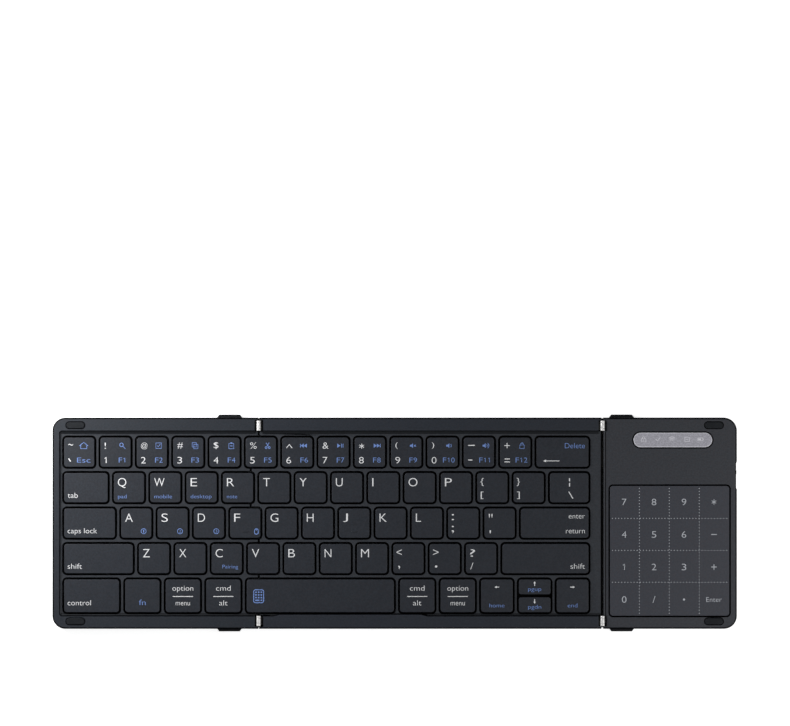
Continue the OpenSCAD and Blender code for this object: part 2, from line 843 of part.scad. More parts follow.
switch_mid_y = rear_y - switch_y;
switch_z = board_top_z + switch_body[2] / 2;
scoop_margin = 0.8; // left of the edge's height above and below the scoop
knob_w = 1.8;
knob_h = 1.6;
knob_play = 0.2;
knob_y = switch_mid_y + switch_travel / 2;

function lamp_x(i) = fold_r + window_x + (i - (lamps - 1) / 2) * guide_l / lamps;

module right_hollow(play = 0) {
    edge = fold_r + right_fold_gap / 2 + fold_wall + play;
    side = right_x - wall - play;
    y = rear_y - wall - play;
    r = corner_r - wall;
    translate([edge, -y]) square([side - r - edge, 2 * y]);
    translate([edge, -y + r]) square([side - edge, 2 * (y - r)]);
    for (s = [-1, 1]) translate([side - r, s * (y - r)]) circle(r);
}

module at_posts() {
    for (x = [board_x + post_inset, right_x - wall - board_play - post_inset],
            y = [boss_y - boss_r - post_inset, board_front + post_inset])
        translate([x, y, 0]) children();
}

module right_bottom_cover() {
    color("#2a2c30") {
        difference() {
            translate([0, 0, cover_z]) linear_extrude(cover_t) right_plan();
            cover_holes(right_screw_x);
        }
        at_posts() translate([0, 0, inside_z - eps]) cylinder(r = post_r, h = board_rise + eps);
    }
}

// The strips are thick over the hinge leaves and the screw bosses
module strip_blocks() {
    for (s = [-1, 1])
        translate([0, s * (rear_y - strip_d / 2), 0])
            slab(fold_r, right_x, -strip_d / 2, strip_d / 2, strip_roof_z, top_z);
}

// Seats for the touch surface and the board under it
module pad_seat() {
    translate([fold_r + pad_x, pad_y, pad_hollow_z - sensor_t - eps]) {
        linear_extrude(top_z - pad_hollow_z + sensor_t + overcut)
            rounded(pad_w + 2 * pad_gap, pad_d + 2 * pad_gap, pad_r + pad_gap);
        linear_extrude(sensor_t + eps)
            square([
                pad_w + 2 * (sensor_rim + sensor_play), pad_d + 2 * (sensor_rim + sensor_play)
            ], center = true);
    }
}

module window_seat() {
    translate([fold_r + window_x, rear_y - window_y, 0]) {
        translate([0, 0, top_z - window_t]) linear_extrude(window_t + overcut)
            rounded(window_l, window_w, window_w / 2 - eps);
        translate([0, 0, pad_hollow_z - overcut]) linear_extrude(pad_skin + overcut)
            rounded(guide_l + 2 * window_play, guide_w + 2 * window_play, guide_r + window_play);
    }
}

module socket_hole() {
    translate([fold_r + socket_x, rear_y + overcut, socket_z]) rotate([90, 0, 0])
        linear_extrude(wall + 2 * overcut)
            rounded(socket_w + 2 * socket_play, socket_h + 2 * socket_play,
                socket_h / 2 + socket_play - eps);
}

// The power switch's finger scoop, and the slot that its knob slides in
module switch_scoop() {
    slot_l = switch_travel + knob_w + 2 * knob_play;
    slot_h = knob_h + 2 * knob_play;
    slab(right_x - scoop_d, right_x + overcut, switch_mid_y - scoop_l / 2,
        switch_mid_y + scoop_l / 2, inside_z + scoop_margin, top_z - scoop_margin);
    slab(right_x - wall - overcut, right_x + overcut, switch_mid_y - slot_l / 2,
        switch_mid_y + slot_l / 2, switch_z - slot_h / 2, switch_z + slot_h / 2);
}

module right_frame() {
    color("#36383f") {
        difference() {
            translate([0, 0, inside_z]) linear_extrude(top_z - inside_z) right_plan();
            difference() {
                translate([0, 0, inside_z - eps])
                    linear_extrude(pad_hollow_z - inside_z + eps) right_hollow();
                strip_blocks();
            }
            pad_seat();
            window_seat();
            socket_hole();
            switch_scoop();
            hinge_slots(fold_r);
            leaf_screw_holes(fold_r, 1);
            flex_slot(fold_r, right_flex_y, right_flex_w, right_fold_gap);
            bumper_pockets([right_x - bumper_x]);
        }
        bosses(right_screw_x);
    }
}

module touchpad_cover() {
    color("#3d4049")
        translate([fold_r + pad_x, pad_y, pad_hollow_z]) linear_extrude(pad_t)
            rounded(pad_w, pad_d, pad_r);
}

sensor_t = 0.6;
sensor_rim = 0.9; // beyond the touch surface, under the frame's top
sensor_play = 0.1;
module touch_sensor_board() {
    color("#1f5138")
        translate([fold_r + pad_x, pad_y, pad_hollow_z - sensor_t]) linear_extrude(sensor_t)
            square([pad_w + 2 * sensor_rim, pad_d + 2 * sensor_rim], center = true);
}

module main_board() {
    color("#1d5a3c")
        translate([0, 0, board_z]) linear_extrude(board_t)
            difference() {
                intersection() {
                    right_hollow(board_play);
                    translate([board_x, board_front]) square([pad_panel_w, board_w]);
                }
                // clear of the screw bosses
                at_screws(right_screw_x) circle(boss_r + board_play);
            }
}

// A block on the main board, from its corner nearest the fold and the front
module chip(x, y, size) {
    translate([board_x + x, board_front + y, board_top_z]) cube(size);
}

module board_components() {
    color("#222428") {
        // radio controller, touch controller and charger
        chip(20, 12, [6, 6, 0.9]);
        chip(12, 5, [4, 4, 0.8]);
        chip(31, 12, [3, 3, 0.8]);
        // flex connector
        translate([flex_plug_x, right_flex_y - flex_plug[1] / 2, board_top_z]) cube(flex_plug);
        // switch body, at the edge of the board
        translate([
            right_x - wall - board_play - switch_body[0],
            switch_mid_y - switch_body[1] / 2, board_top_z
        ]) cube(switch_body);
        // lamps under the indicator window
        for (i = [0:lamps - 1])
            translate([lamp_x(i) - lamp[0] / 2, rear_y - window_y - lamp[1] / 2, board_top_z])
                cube(lamp);
    }
}

battery_r = 1.5;
battery_gap = 6; // from the battery to the main board

module battery() {
    color("#b9bdc4")
        translate([fold_r + pad_x, board_front - battery_gap - battery_l / 2, inside_z])
            linear_extrude(battery_t) rounded(battery_w, battery_l, battery_r);
}

module usb_c_socket() {
    color("#c8ccd0")
        translate([fold_r + socket_x, rear_y - socket_inset, socket_z]) rotate([90, 0, 0]) {
            difference() {
                linear_extrude(socket_l) rounded(socket_w, socket_h, socket_h / 2 - eps);
                translate([0, 0, -overcut]) linear_extrude(socket_l - socket_back_t + overcut)
                    rounded(socket_w - 2 * socket_shell, socket_h - 2 * socket_shell,
                        socket_h / 2 - socket_shell - eps);
            }
            // the tongue that carries the contacts
            translate([-socket_tongue[0] / 2, -socket_tongue[1] / 2, 1])
                cube([socket_tongue[0], socket_tongue[1], socket_l - socket_back_t]);
        }
}

module indicator_window() {
    color("#a9aab4")
        translate([fold_r + window_x, rear_y - window_y, top_z - window_t])
            linear_extrude(window_t - window_sink)
                rounded(window_l - 2 * window_play, window_w - 2 * window_play,
                    window_w / 2 - window_play - eps);
}

module indicator_light_guide() {
    roof = top_z - window_t;
    base = board_top_z + lamp[2] + lamp_gap;
    color("#e9eef2") {
        translate([fold_r + window_x, rear_y - window_y, roof - guide_t])
            linear_extrude(guide_t) rounded(guide_l, guide_w, guide_r);
        for (i = [0:lamps - 1])
            translate([lamp_x(i), rear_y - window_y, base])
                cylinder(r = pillar_r, h = roof - guide_t - base + eps);
    }
}

module power_switch_knob() {
    color("#202225")
        slab(right_x - wall - knob_play, right_x - window_sink, knob_y - knob_w / 2,
            knob_y + knob_w / 2, switch_z - knob_h / 2, switch_z + knob_h / 2);
}

// ---- Metal parts and screws of each panel ----
module left_hinge_leaves() { color("#b9bcc0") hinge_leaf(fold_l, -1, side_knuckles); }
module right_hinge_leaves() { color("#b9bcc0") hinge_leaf(fold_r, 1, side_knuckles); }
module mid_hinge_leaves() {
    color("#c6c8cc") {
        hinge_leaf(fold_l, 1, mid_knuckles);
        hinge_leaf(fold_r, -1, mid_knuckles);
    }
}
module left_hinge_pins() { color("#d9dadc") hinge_pins(fold_l); }
module right_hinge_pins() { color("#d9dadc") hinge_pins(fold_r); }
module left_screws() {
    color("#8f9296") {
        cover_screws(left_screw_x);
        leaf_screws(fold_l, -1);
    }
}
module mid_screws() {
    color("#8f9296") {
        cover_screws(mid_screw_x);
        leaf_screws(fold_l, 1);
        leaf_screws(fold_r, -1);
    }
}
module right_screws() {
    color("#8f9296") {
        cover_screws(right_screw_x);
        leaf_screws(fold_r, 1);
    }
}

mid_frame();
mid_bottom_cover();
mid_base_plate();
mid_membrane();
mid_domes();
mid_scissors();
mid_hinge_leaves();
mid_screws();
mid_feet();
left_frame();
left_bottom_cover();
left_base_plate();
left_membrane();
left_domes();
left_scissors();
left_hinge_leaves();
left_hinge_pins();
left_screws();
left_feet();
left_bumpers();
right_frame();
right_bottom_cover();
touchpad_cover();
touch_sensor_board();
main_board();
board_components();
battery();
usb_c_socket();
indicator_window();
indicator_light_guide();
right_hinge_leaves();
right_hinge_pins();
right_screws();
right_feet();
right_bumpers();
power_switch_knob();
left_flex_cable();
right_flex_cable();
caps(0, 0, 4);  // number_keys_left
caps(1, 1, 4);  // top_row_keys_left
union() {  // home_row_keys_left
    caps(2, 1, 4);
    homing_bar(4);
}
caps(3, 1, 3);  // bottom_row_keys_left
caps(1, 0, 0);  // tab_key
caps(2, 0, 0);  // caps_lock_key
caps(3, 0, 0);  // left_shift_key
caps(4, 0, 0);  // control_key
caps(4, 1, 3);  // left_modifier_keys
caps(0, 5, 12);  // number_keys_mid
caps(1, 5, len(rows[1]) - 1);  // top_row_keys_mid
union() {  // home_row_keys_mid
    caps(2, 5, 11);
    homing_bar(7);
}
caps(3, 4, 10);  // bottom_row_keys_mid
last_cap(0);  // backspace_key
last_cap(2);  // enter_key
last_cap(3);  // right_shift_key
caps(4, space, space);  // space_key
caps(4, 5, 6);  // right_modifier_keys
union() {  // side_arrow_keys
    caps(4, 7, 7);
    caps(4, 9, 9);
}
half_cap(1);  // up_arrow_key
half_cap(-1);  // down_arrow_key
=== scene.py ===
from math import cos, radians, sin

import bmesh
import bpy
from mathutils import Matrix, Vector


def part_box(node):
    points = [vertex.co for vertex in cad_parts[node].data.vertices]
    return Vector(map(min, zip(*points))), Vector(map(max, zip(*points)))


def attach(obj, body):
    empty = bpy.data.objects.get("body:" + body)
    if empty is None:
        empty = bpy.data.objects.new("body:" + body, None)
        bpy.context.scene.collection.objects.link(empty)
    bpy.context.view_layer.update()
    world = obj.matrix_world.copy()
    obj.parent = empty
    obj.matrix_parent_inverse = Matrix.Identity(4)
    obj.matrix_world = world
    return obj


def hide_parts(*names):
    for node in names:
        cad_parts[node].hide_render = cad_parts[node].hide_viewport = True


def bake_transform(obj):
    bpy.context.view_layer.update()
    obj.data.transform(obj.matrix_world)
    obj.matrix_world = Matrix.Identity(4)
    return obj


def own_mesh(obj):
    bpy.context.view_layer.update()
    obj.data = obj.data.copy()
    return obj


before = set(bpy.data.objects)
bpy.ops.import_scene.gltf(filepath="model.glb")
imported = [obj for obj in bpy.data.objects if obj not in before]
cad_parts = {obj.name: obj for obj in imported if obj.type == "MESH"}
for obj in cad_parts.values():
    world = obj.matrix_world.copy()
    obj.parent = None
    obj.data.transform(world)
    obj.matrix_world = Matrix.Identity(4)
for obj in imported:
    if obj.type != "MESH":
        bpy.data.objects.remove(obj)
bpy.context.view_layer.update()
print("frame loaded with", len(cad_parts), "nodes")

mm = 0.001
slack = 0.02 * mm  # within which two places count as one

# the planes and lines that the pieces share, read off the frame
leftLow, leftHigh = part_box("left_frame")
midLow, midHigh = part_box("mid_frame")
rightLow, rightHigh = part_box("right_frame")
topZ = leftHigh.z
rearY = leftHigh.y
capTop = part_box("tab_key")[1].z
deckZ = topZ - 1.4 * mm  # the deck that the keys stand over
stripInner = rearY - 6.1 * mm  # the inner edge of the strips behind and in front of the keys
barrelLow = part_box("mid_hinge_leaves")[1].z - 2.1 * mm
deckShadeFront = -41.9 * mm  # where the deck's painted shade begins, in front of the keys


photo = {
    "width": 790,
    "height": 726,
    "millimetresPerPixel": 0.465,
    "centreX": 394.65,  # pixel of the keyboard's middle
    "centreY": 523.3,
    "lens": 250,
    "sensor": 36,
}

studio = {
    "worldLevel": 0.2,
    "overheadGloss": 0.12,  # what gloss finds overhead
    "horizonGloss": 1.0,
    "keyAim": (-0.08, 0, 0),
    "fillAim": (0.12, 0, 0),
    "keyPlace": (-0.24, 0.12, 0.17),
    "keySize": 0.16,
    "keyPower": 0.72,
    "fillPlace": (0.32, -0.08, 0.3),
    "fillSize": 0.26,
    "fillPower": 0.52,
    "floorSize": 6,
    "floorColour": 0.8,
    "floorLift": 0.8,
    "floorGlow": 0.6,  # what it gives the sides and the underside
    "shadedColour": 0.03,  # close under the keyboard, so that the folds' gaps look dark
    "shadedReach": 12 * mm,
}


def photoPoint(x, y):
    # a point of the photograph, on the desk's plane, in metres
    scale = photo["millimetresPerPixel"] * mm
    return (x - photo["centreX"]) * scale, (photo["centreY"] - y) * scale


def addCamera():
    data = bpy.data.cameras.new("camera")
    data.lens = photo["lens"]
    data.sensor_width = photo["sensor"]
    across = photo["width"] * photo["millimetresPerPixel"] * mm
    camera = bpy.data.objects.new("camera", data)
    x, y = photoPoint(photo["width"] / 2, photo["height"] / 2)
    camera.location = (x, y, topZ + across * photo["lens"] / photo["sensor"])
    data.clip_end = 20
    bpy.context.scene.collection.objects.link(camera)
    bpy.context.scene.camera = camera


def addLamp(name, place, size, power, aim):
    data = bpy.data.lights.new(name, "AREA")
    data.shape = "SQUARE"
    data.size = size
    data.energy = power
    lamp = bpy.data.objects.new(name, data)
    lamp.location = place
    lamp.rotation_euler = (Vector(aim) - Vector(place)).to_track_quat("-Z", "Y").to_euler()
    bpy.context.scene.collection.objects.link(lamp)


class Signal:
    # a shader socket; arithmetic on it adds its Math nodes
    def __init__(self, finish, socket):
        self.finish = finish
        self.socket = socket

    def combine(self, operation, first, second):
        return self.finish.node("ShaderNodeMath", {"operation": operation}, {0: first, 1: second})

    def __add__(self, other):
        return self.combine("ADD", self, other)

    def __sub__(self, other):
        return self.combine("SUBTRACT", self, other)

    def __rsub__(self, other):
        return self.combine("SUBTRACT", other, self)

    def __mul__(self, other):
        return self.combine("MULTIPLY", self, other)

    def __abs__(self):
        return self.combine("ABSOLUTE", self, 0)

    def above(self, low, high):
        # 0 below low, 1 above high, smooth in between
        settings = {"interpolation_type": "SMOOTHSTEP"}
        return self.finish.node("ShaderNodeMapRange", settings, {0: self, 1: low, 2: high, 3: 0, 4: 1})


class Tree:
    # a node tree, which makes any node from its type, its settings and its sockets' values or links
    def __init__(self, tree):
        self.tree = tree

    def node(self, kind, settings=None, values=None, output=0):
        made = self.tree.nodes.new(kind)
        for name, value in (settings or {}).items():
            setattr(made, name, value)
        for socket, value in (values or {}).items():
            if isinstance(value, Signal):
                self.tree.links.new(value.socket, made.inputs[socket])
            else:
                made.inputs[socket].default_value = value
        return Signal(self, made.outputs[output])


class Finish(Tree):
    # one procedural material; what is the same all over goes on the shader's own sockets
    def __init__(self, name, constants=None):
        self.material = bpy.data.materials.new(name)
        self.material.use_nodes = True
        super().__init__(self.material.node_tree)
        self.shader = self.tree.nodes["Principled BSDF"]
        for socket, value in (constants or {}).items():
            self.shader.inputs[socket].default_value = value

    def place(self):
        return self.node("ShaderNodeTexCoord", output="Object")

    def axis(self, name):
        return self.node("ShaderNodeSeparateXYZ", None, {0: self.place()}, output=name)

    def noise(self, scale, detail=3, roughness=0.5, stretch=(1, 1, 1)):
        turned = self.node("ShaderNodeMapping", None, {"Vector": self.place(), "Scale": stretch})
        values = {"Vector": turned, "Scale": scale, "Detail": detail, "Roughness": roughness}
        return self.node("ShaderNodeTexNoise", None, values)

    def cells(self, scale, feature="F1"):
        values = {"Vector": self.place(), "Scale": scale}
        return self.node("ShaderNodeTexVoronoi", {"feature": feature}, values)

    def mix(self, factor, first, second):
        values = {0: factor, 6: self.tint(first), 7: self.tint(second)}
        return self.node("ShaderNodeMix", {"data_type": "RGBA"}, values, output=2)

    def tint(self, colour):
        return colour if isinstance(colour, Signal) else (*colour, 1)

    def bump(self, height, strength, distance):
        values = {"Height": height, "Strength": strength, "Distance": distance}
        return self.node("ShaderNodeBump", None, values)

    def paint(self, **sockets):
        names = {"colour": "Base Color", "roughness": "Roughness", "normal": "Normal",
                 "metallic": "Metallic", "alpha": "Alpha"}
        for name, signal in sockets.items():
            self.tree.links.new(signal.socket, self.shader.inputs[names[name]])
        return self.material


def shade(colour, factor):
    return tuple(part * factor for part in colour)


def srgb(red, green, blue):
    # a colour as a screen shows it, 0 to 255, in the renderer's own linear numbers
    def linear(part):
        part /= 255
        return part / 12.92 if part <= 0.04045 else ((part + 0.055) / 1.055) ** 2.4
    return tuple(linear(part) for part in (red, green, blue))


plastics = {
    "cloudScale": 70,  # broad mottling, per metre
    "speckleScale": 1250,
    "hueScale": 900,
    "grainScale": 3200,  # spark-eroded grain, per metre
    "grainDepth": 0.012 * mm,
    "pitScale": 5200,
}
# painted shade, for the sloping strip faces, the rounding's top step, the groove's floor and the deck in
# front of the keys
slopePaintedShade = srgb(26, 29, 33)
# painted shade: near black for the membrane and dome sheet, which show deep in the key gaps
paintedShadeBlack = srgb(4, 4, 5)


def plainPlastic(name, colour, roughness=0.48, gloss=0.3, grain=1.0, mottling=0.08, speckle=0.16,
                 front=None):
    # a spark-eroded moulding: fine grain and speckle over faint broad mottling
    finish = Finish(name, {"Specular IOR Level": gloss, "IOR": 1.5})
    cloud = finish.noise(plastics["cloudScale"], 4, 0.55)
    speck = finish.noise(plastics["speckleScale"], 2, 0.6)
    hue = finish.noise(plastics["hueScale"], 1, 0.5)
    warm = (colour[0] * 1.3, colour[1], colour[2] * 0.92)
    tone = finish.mix(speck.above(0.36, 0.64), shade(colour, 1 - speckle), shade(colour, 1 + speckle))
    tone = finish.mix(hue.above(0.42, 0.6) * 0.3, tone, warm)
    tone = finish.mix(cloud * 0.35, tone, shade(colour, 1 + mottling))
    if front:  # painted shade in front of a line across the piece
        tone = finish.mix(finish.axis("Y").above(front, front + 0.2 * mm), slopePaintedShade, tone)
    grit = finish.noise(plastics["grainScale"], 2, 0.6)
    height = grit * 0.6 + finish.cells(plastics["pitScale"]) * 0.4
    sheen = finish.noise(plastics["cloudScale"] * 3, 3) * 0.12 + (roughness - 0.06)
    return finish.paint(colour=tone, roughness=sheen,
                        normal=finish.bump(height, 0.55 * grain, plastics["grainDepth"]))


def rubber(name, colour, roughness=0.75):
    finish = Finish(name, {"Specular IOR Level": 0.2})
    dust = finish.noise(900, 5, 0.6)
    tone = finish.mix(dust.above(0.45, 0.8), colour, shade(colour, 1.8))
    return finish.paint(colour=tone, roughness=dust * 0.15 + (roughness - 0.08),
                        normal=finish.bump(finish.noise(4200, 2), 0.5, 0.02 * mm))


def metal(name, colour, roughness, brushed=(1, 1, 1), scratch=2600):
    finish = Finish(name, {"Metallic": 1.0})
    lines = finish.noise(scratch, 3, 0.6, brushed)
    tone = finish.mix(lines, shade(colour, 0.86), colour)
    return finish.paint(colour=tone, roughness=lines * 0.14 + (roughness - 0.07),
                        normal=finish.bump(lines, 0.25, 0.006 * mm))


def hingeSteel(name, colour, roughness):
    # the leaves, down in the slots, are painted near black as shade, and their rolled barrels are bright
    finish = Finish(name, {})
    lines = finish.noise(1400, 2, 0.5, (1, 0.06, 1))
    bright = finish.axis("Z").above(barrelLow - 0.1 * mm, barrelLow + 0.1 * mm)
    tone = finish.mix(lines, shade(colour, 0.94), colour)
    tone = finish.mix(bright, (0.012, 0.012, 0.013), tone)
    return finish.paint(colour=tone, metallic=bright * 0.3, roughness=lines * 0.08 + (roughness - 0.04))


def silverPaint(name, colour, contrast=0.17):
    # metallic paint behind a clear window: fine flakes and a soft sheen
    finish = Finish(name, {"Specular IOR Level": 0.45, "Coat Weight": 0.3, "Coat Roughness": 0.22})
    flakes = finish.noise(1500, 2, 0.6)
    cloud = finish.noise(160, 3)
    tone = finish.mix(flakes.above(0.38, 0.62), shade(colour, 1 - contrast), shade(colour, 1 + contrast))
    tone = finish.mix(cloud * 0.25, tone, shade(colour, 1.1))
    return finish.paint(colour=tone, roughness=flakes * 0.15 + 0.35, metallic=cloud * 0.15,
                        normal=finish.bump(flakes, 0.15, 0.008 * mm))


def printedInk(name, colour):
    finish = Finish(name, {"Specular IOR Level": 0.2})
    cover = finish.noise(5200, 2)
    tone = finish.mix(cover.above(0.3, 0.7), shade(colour, 0.88), colour)
    return finish.paint(colour=tone, roughness=cover * 0.1 + 0.5)


def film(name, colour):
    # switch membrane with printed silver tracks
    finish = Finish(name, {"Specular IOR Level": 0.05})
    along = finish.node("ShaderNodeTexWave", {"bands_direction": "Y"},
                        {"Vector": finish.place(), "Scale": 160, "Distortion": 1.2})
    tone = finish.mix(along.above(0.55, 0.7), colour, shade(colour, 4))
    return finish.paint(colour=tone, roughness=along * 0.15 + 0.5)


def laminate(name, colour):
    # circuit board: solder mask, tracks and pads
    finish = Finish(name, {"Specular IOR Level": 0.5})
    tracks = finish.cells(420, "DISTANCE_TO_EDGE")
    pads = finish.cells(700)
    tone = finish.mix(tracks.above(0.03, 0.06), shade(colour, 1.9), colour)
    tone = finish.mix(1 - pads.above(0.1, 0.14), tone, (0.55, 0.43, 0.2))
    return finish.paint(colour=tone, roughness=tracks * 0.2 + 0.28,
                        normal=finish.bump(tracks.above(0.03, 0.06), 0.3, 0.02 * mm))


def paleMoulding(name, colour, roughness=0.45, clear=0.0):
    finish = Finish(name, {"Specular IOR Level": 0.4, "Transmission Weight": clear, "IOR": 1.49})
    cloud = finish.noise(320, 3)
    tone = finish.mix(cloud, shade(colour, 0.92), colour)
    return finish.paint(colour=tone, roughness=cloud * 0.1 + (roughness - 0.05))


def flexFilm(name, colour):
    # copper tracks run along the ribbon under an amber film
    finish = Finish(name, {"Specular IOR Level": 0.5})
    tracks = finish.node("ShaderNodeTexWave", {"bands_direction": "Y"},
                         {"Vector": finish.place(), "Scale": 900})
    tone = finish.mix(tracks.above(0.4, 0.6), shade(colour, 0.7), colour)
    return finish.paint(colour=tone, roughness=tracks * 0.1 + 0.28)


def batteryFoil(name, colour):
    finish = Finish(name, {"Metallic": 0.85})
    creases = finish.noise(140, 6, 0.65)
    tone = finish.mix(creases, shade(colour, 0.8), colour)
    return finish.paint(colour=tone, roughness=creases * 0.2 + 0.25,
                        normal=finish.bump(creases, 0.5, 0.15 * mm))


finishes = {
    "leftCase": plainPlastic("leftCasePlastic", srgb(41, 46, 53)),
    "midCase": plainPlastic("midCasePlastic", srgb(41, 46, 54)),
    # the decks are lighter than the case: a painted highlight on the webs between the keys
    "leftDeck": plainPlastic("leftDeckHighlightPlastic", srgb(49, 53, 59), front=deckShadeFront),
    "midDeck": plainPlastic("midDeckHighlightPlastic", srgb(51, 55, 61), front=deckShadeFront),
    "slope": plainPlastic("slopePaintedShadePlastic", slopePaintedShade, roughness=0.5, gloss=0.15),
    "padCase": plainPlastic("padCasePlastic", srgb(57, 60, 66)),
    # painted shade: the near-black outline on the case's rounded outer rims
    "edge": plainPlastic("edgePaintedShadePlastic", srgb(6, 7, 9), roughness=0.6, gloss=0.0),
    "shadow": plainPlastic("shadowPlastic", srgb(3, 3, 4), roughness=0.8, gloss=0.0),
    "cover": plainPlastic("coverPlastic", srgb(44, 47, 52), roughness=0.6, grain=1.5),
    "key": plainPlastic("keycapPlastic", srgb(43, 47, 54), roughness=0.46),
    "pad": plainPlastic("padSurface", srgb(64, 67, 75), roughness=0.44, grain=0.5, mottling=0.06,
                        speckle=0.1),
    "rubber": rubber("footRubber", srgb(26, 28, 31)),
    "bumper": rubber("bumperRubber", srgb(24, 27, 31), 0.6),
    "switch": plainPlastic("switchPlastic", srgb(36, 38, 42), roughness=0.4),
    "hinge": hingeSteel("hingeSteel", (0.92, 0.91, 0.9), 0.34),
    "pin": metal("pinSteel", (0.85, 0.85, 0.86), 0.25),
    "screw": metal("screwSteel", (0.36, 0.37, 0.39), 0.34),
    "socket": metal("socketSteel", (0.72, 0.73, 0.75), 0.26, (1, 0.1, 1)),
    # the base plate's steel is darkened to near black: painted shade for the key gaps
    "basePlate": metal("basePlateSteel", (0.06, 0.062, 0.066), 0.45, (0.08, 1, 1), 1400),
    "window": silverPaint("windowSilver", srgb(178, 177, 187)),
    # the pane's rounded rim in a lighter silver: a painted highlight
    "windowEdge": silverPaint("windowEdgeHighlightSilver", srgb(226, 226, 234), 0.06),
    "white": printedInk("whiteInk", srgb(244, 245, 247)),
    "blue": printedInk("blueInk", srgb(122, 152, 216)),
    "padInk": printedInk("padInk", srgb(205, 209, 216)),
    "windowInk": printedInk("windowInk", srgb(244, 243, 250)),
    "film": film("membraneFilm", paintedShadeBlack),
    "dome": paleMoulding("domeRubber", (0.3, 0.3, 0.29)),
    "sheet": rubber("domeSheetRubber", paintedShadeBlack),
    "link": paleMoulding("linkPlastic", (0.04, 0.04, 0.042)),
    "board": laminate("boardLaminate", (0.005, 0.007, 0.008)),
    "chip": plainPlastic("chipPlastic", srgb(40, 41, 44)),
    "battery": batteryFoil("batteryFoil", (0.6, 0.61, 0.64)),
    "guide": paleMoulding("lightGuide", (0.85, 0.87, 0.9), 0.2, 0.6),
    "flex": flexFilm("flexFilm", (0.012, 0.011, 0.011)),
}
print("materials made:", len(finishes))


def mergedMesh(node):
    # a node's mesh with its loose triangles joined and its flat faces made whole
    bm = bmesh.new()
    bm.from_mesh(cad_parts[node].data)
    bmesh.ops.remove_doubles(bm, verts=bm.verts, dist=0.001 * mm)
    bmesh.ops.dissolve_limit(bm, angle_limit=radians(0.5), verts=bm.verts, edges=bm.edges,
                             use_dissolve_boundaries=False, delimit={"NORMAL"})
    return bm


def roundEdges(bm, width, segments, wanted):
    # bevels the convex edges for which wanted(middle of the edge) holds
    edges = []
    for edge in bm.edges:
        if edge.is_manifold and edge.is_convex and edge.calc_face_angle() > radians(40):
            if wanted((edge.verts[0].co + edge.verts[1].co) / 2):
                edges.append(edge)
    bmesh.ops.bevel(bm, geom=edges, offset=width, offset_type="OFFSET", segments=segments,
                    profile=0.5, affect="EDGES", clamp_overlap=False, material=-1)


def paintFaces(bm, choose):
    # choose(face, its middle) gives a face's place in its piece's list of materials
    bm.normal_update()
    for face in bm.faces:
        face.material_index = choose(face, face.calc_center_median())


def pieceOf(bm, name, materials):
    mesh = bpy.data.meshes.new(name)
    bm.normal_update()
    bm.to_mesh(mesh)
    bm.free()
    for material in materials:
        mesh.materials.append(finishes[material])
    mesh.shade_smooth()
    mesh.set_sharp_from_angle(angle=radians(50))
    piece = bpy.data.objects.new(name, mesh)
    bpy.context.scene.collection.objects.link(piece)
    return piece


def finishPiece(bm, name, materials, body, slot=None, stands=()):
    piece = pieceOf(bm, name, materials)
    weighted = piece.modifiers.new("weightedNormals", "WEIGHTED_NORMAL")
    weighted.keep_sharp = True
    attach(piece, body)
    if stands:
        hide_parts(*stands)
    return piece


def roundedFace(bm, low, high, z, radius, steps):
    # a flat face with round corners
    others = set(bm.faces)
    corners = [(low.x, low.y), (high.x, low.y), (high.x, high.y), (low.x, high.y)]
    verts = [bm.verts.new((x, y, z)) for x, y in corners]
    bm.faces.new(verts)
    bmesh.ops.bevel(bm, geom=verts, offset=radius, offset_type="OFFSET", segments=steps,
                    profile=0.5, affect="VERTICES", clamp_overlap=True, material=-1)
    return next(face for face in bm.faces if face not in others)


def raised(bm, face, rise):
    # extrudes a face along Z and returns the new one
    grown = bmesh.ops.extrude_face_region(bm, geom=[face])["geom"]
    verts = [part for part in grown if isinstance(part, bmesh.types.BMVert)]
    bmesh.ops.translate(bm, vec=(0, 0, rise), verts=verts)
    return next(part for part in grown if isinstance(part, bmesh.types.BMFace))


def crown(bm, face, radius, steps):
    # rounds the rim of a top face over, in steps of an arc
    for step in range(steps):
        before, after = (radians(90) * turn / steps for turn in (step, step + 1))
        bmesh.ops.inset_region(bm, faces=[face], thickness=radius * (cos(before) - cos(after)),
                               depth=radius * (sin(after) - sin(before)), use_even_offset=True)


def roundedBlock(bm, low, high, radius, rim, cornerSteps=6, rimSteps=3):
    # a block with round corners in plan and a rim rounded over; returns its bottom face
    base = roundedFace(bm, low, high, low.z, radius, cornerSteps)
    crown(bm, raised(bm, base, high.z - rim - low.z), rim, rimSteps)
    return base


def islandBoxes(node):
    # the lowest and highest corners of each separate solid of a node, from left to right
    bm = mergedMesh(node)
    waiting, boxes = set(bm.verts), []
    while waiting:
        group, front = set(), [waiting.pop()]
        while front:
            vert = front.pop()
            group.add(vert)
            for edge in vert.link_edges:
                other = edge.other_vert(vert)
                if other in waiting:
                    waiting.remove(other)
                    front.append(other)
        points = [vert.co for vert in group]
        boxes.append(tuple(Vector(tuple(pick(p[axis] for p in points) for axis in range(3)))
                           for pick in (min, max)))
    bm.free()
    return sorted(boxes, key=lambda ends: (round(ends[0].x, 4), -ends[0].y))


keycap = {
    "cornerRadius": 1.5 * mm,
    "halfCornerRadius": 1.2 * mm,
    "halfDepth": 9 * mm,  # a cap shallower than this is a half key
    "rim": 0.42 * mm,
    "litRim": 0.08 * mm,  # how far down the rim the top's colour reaches; below it the rim and skirt are painted shade
    "wall": 0.9 * mm,
    "roof": 1.1 * mm,
    "barHalf": (1.4 * mm, 0.25 * mm, 0),  # half the homing bar's length and width
    "barDown": 3.96 * mm,  # from the cap's middle
    "barSunk": 0.2 * mm,
    "barCorner": 0.24 * mm,
    "barRim": 0.2 * mm,
}


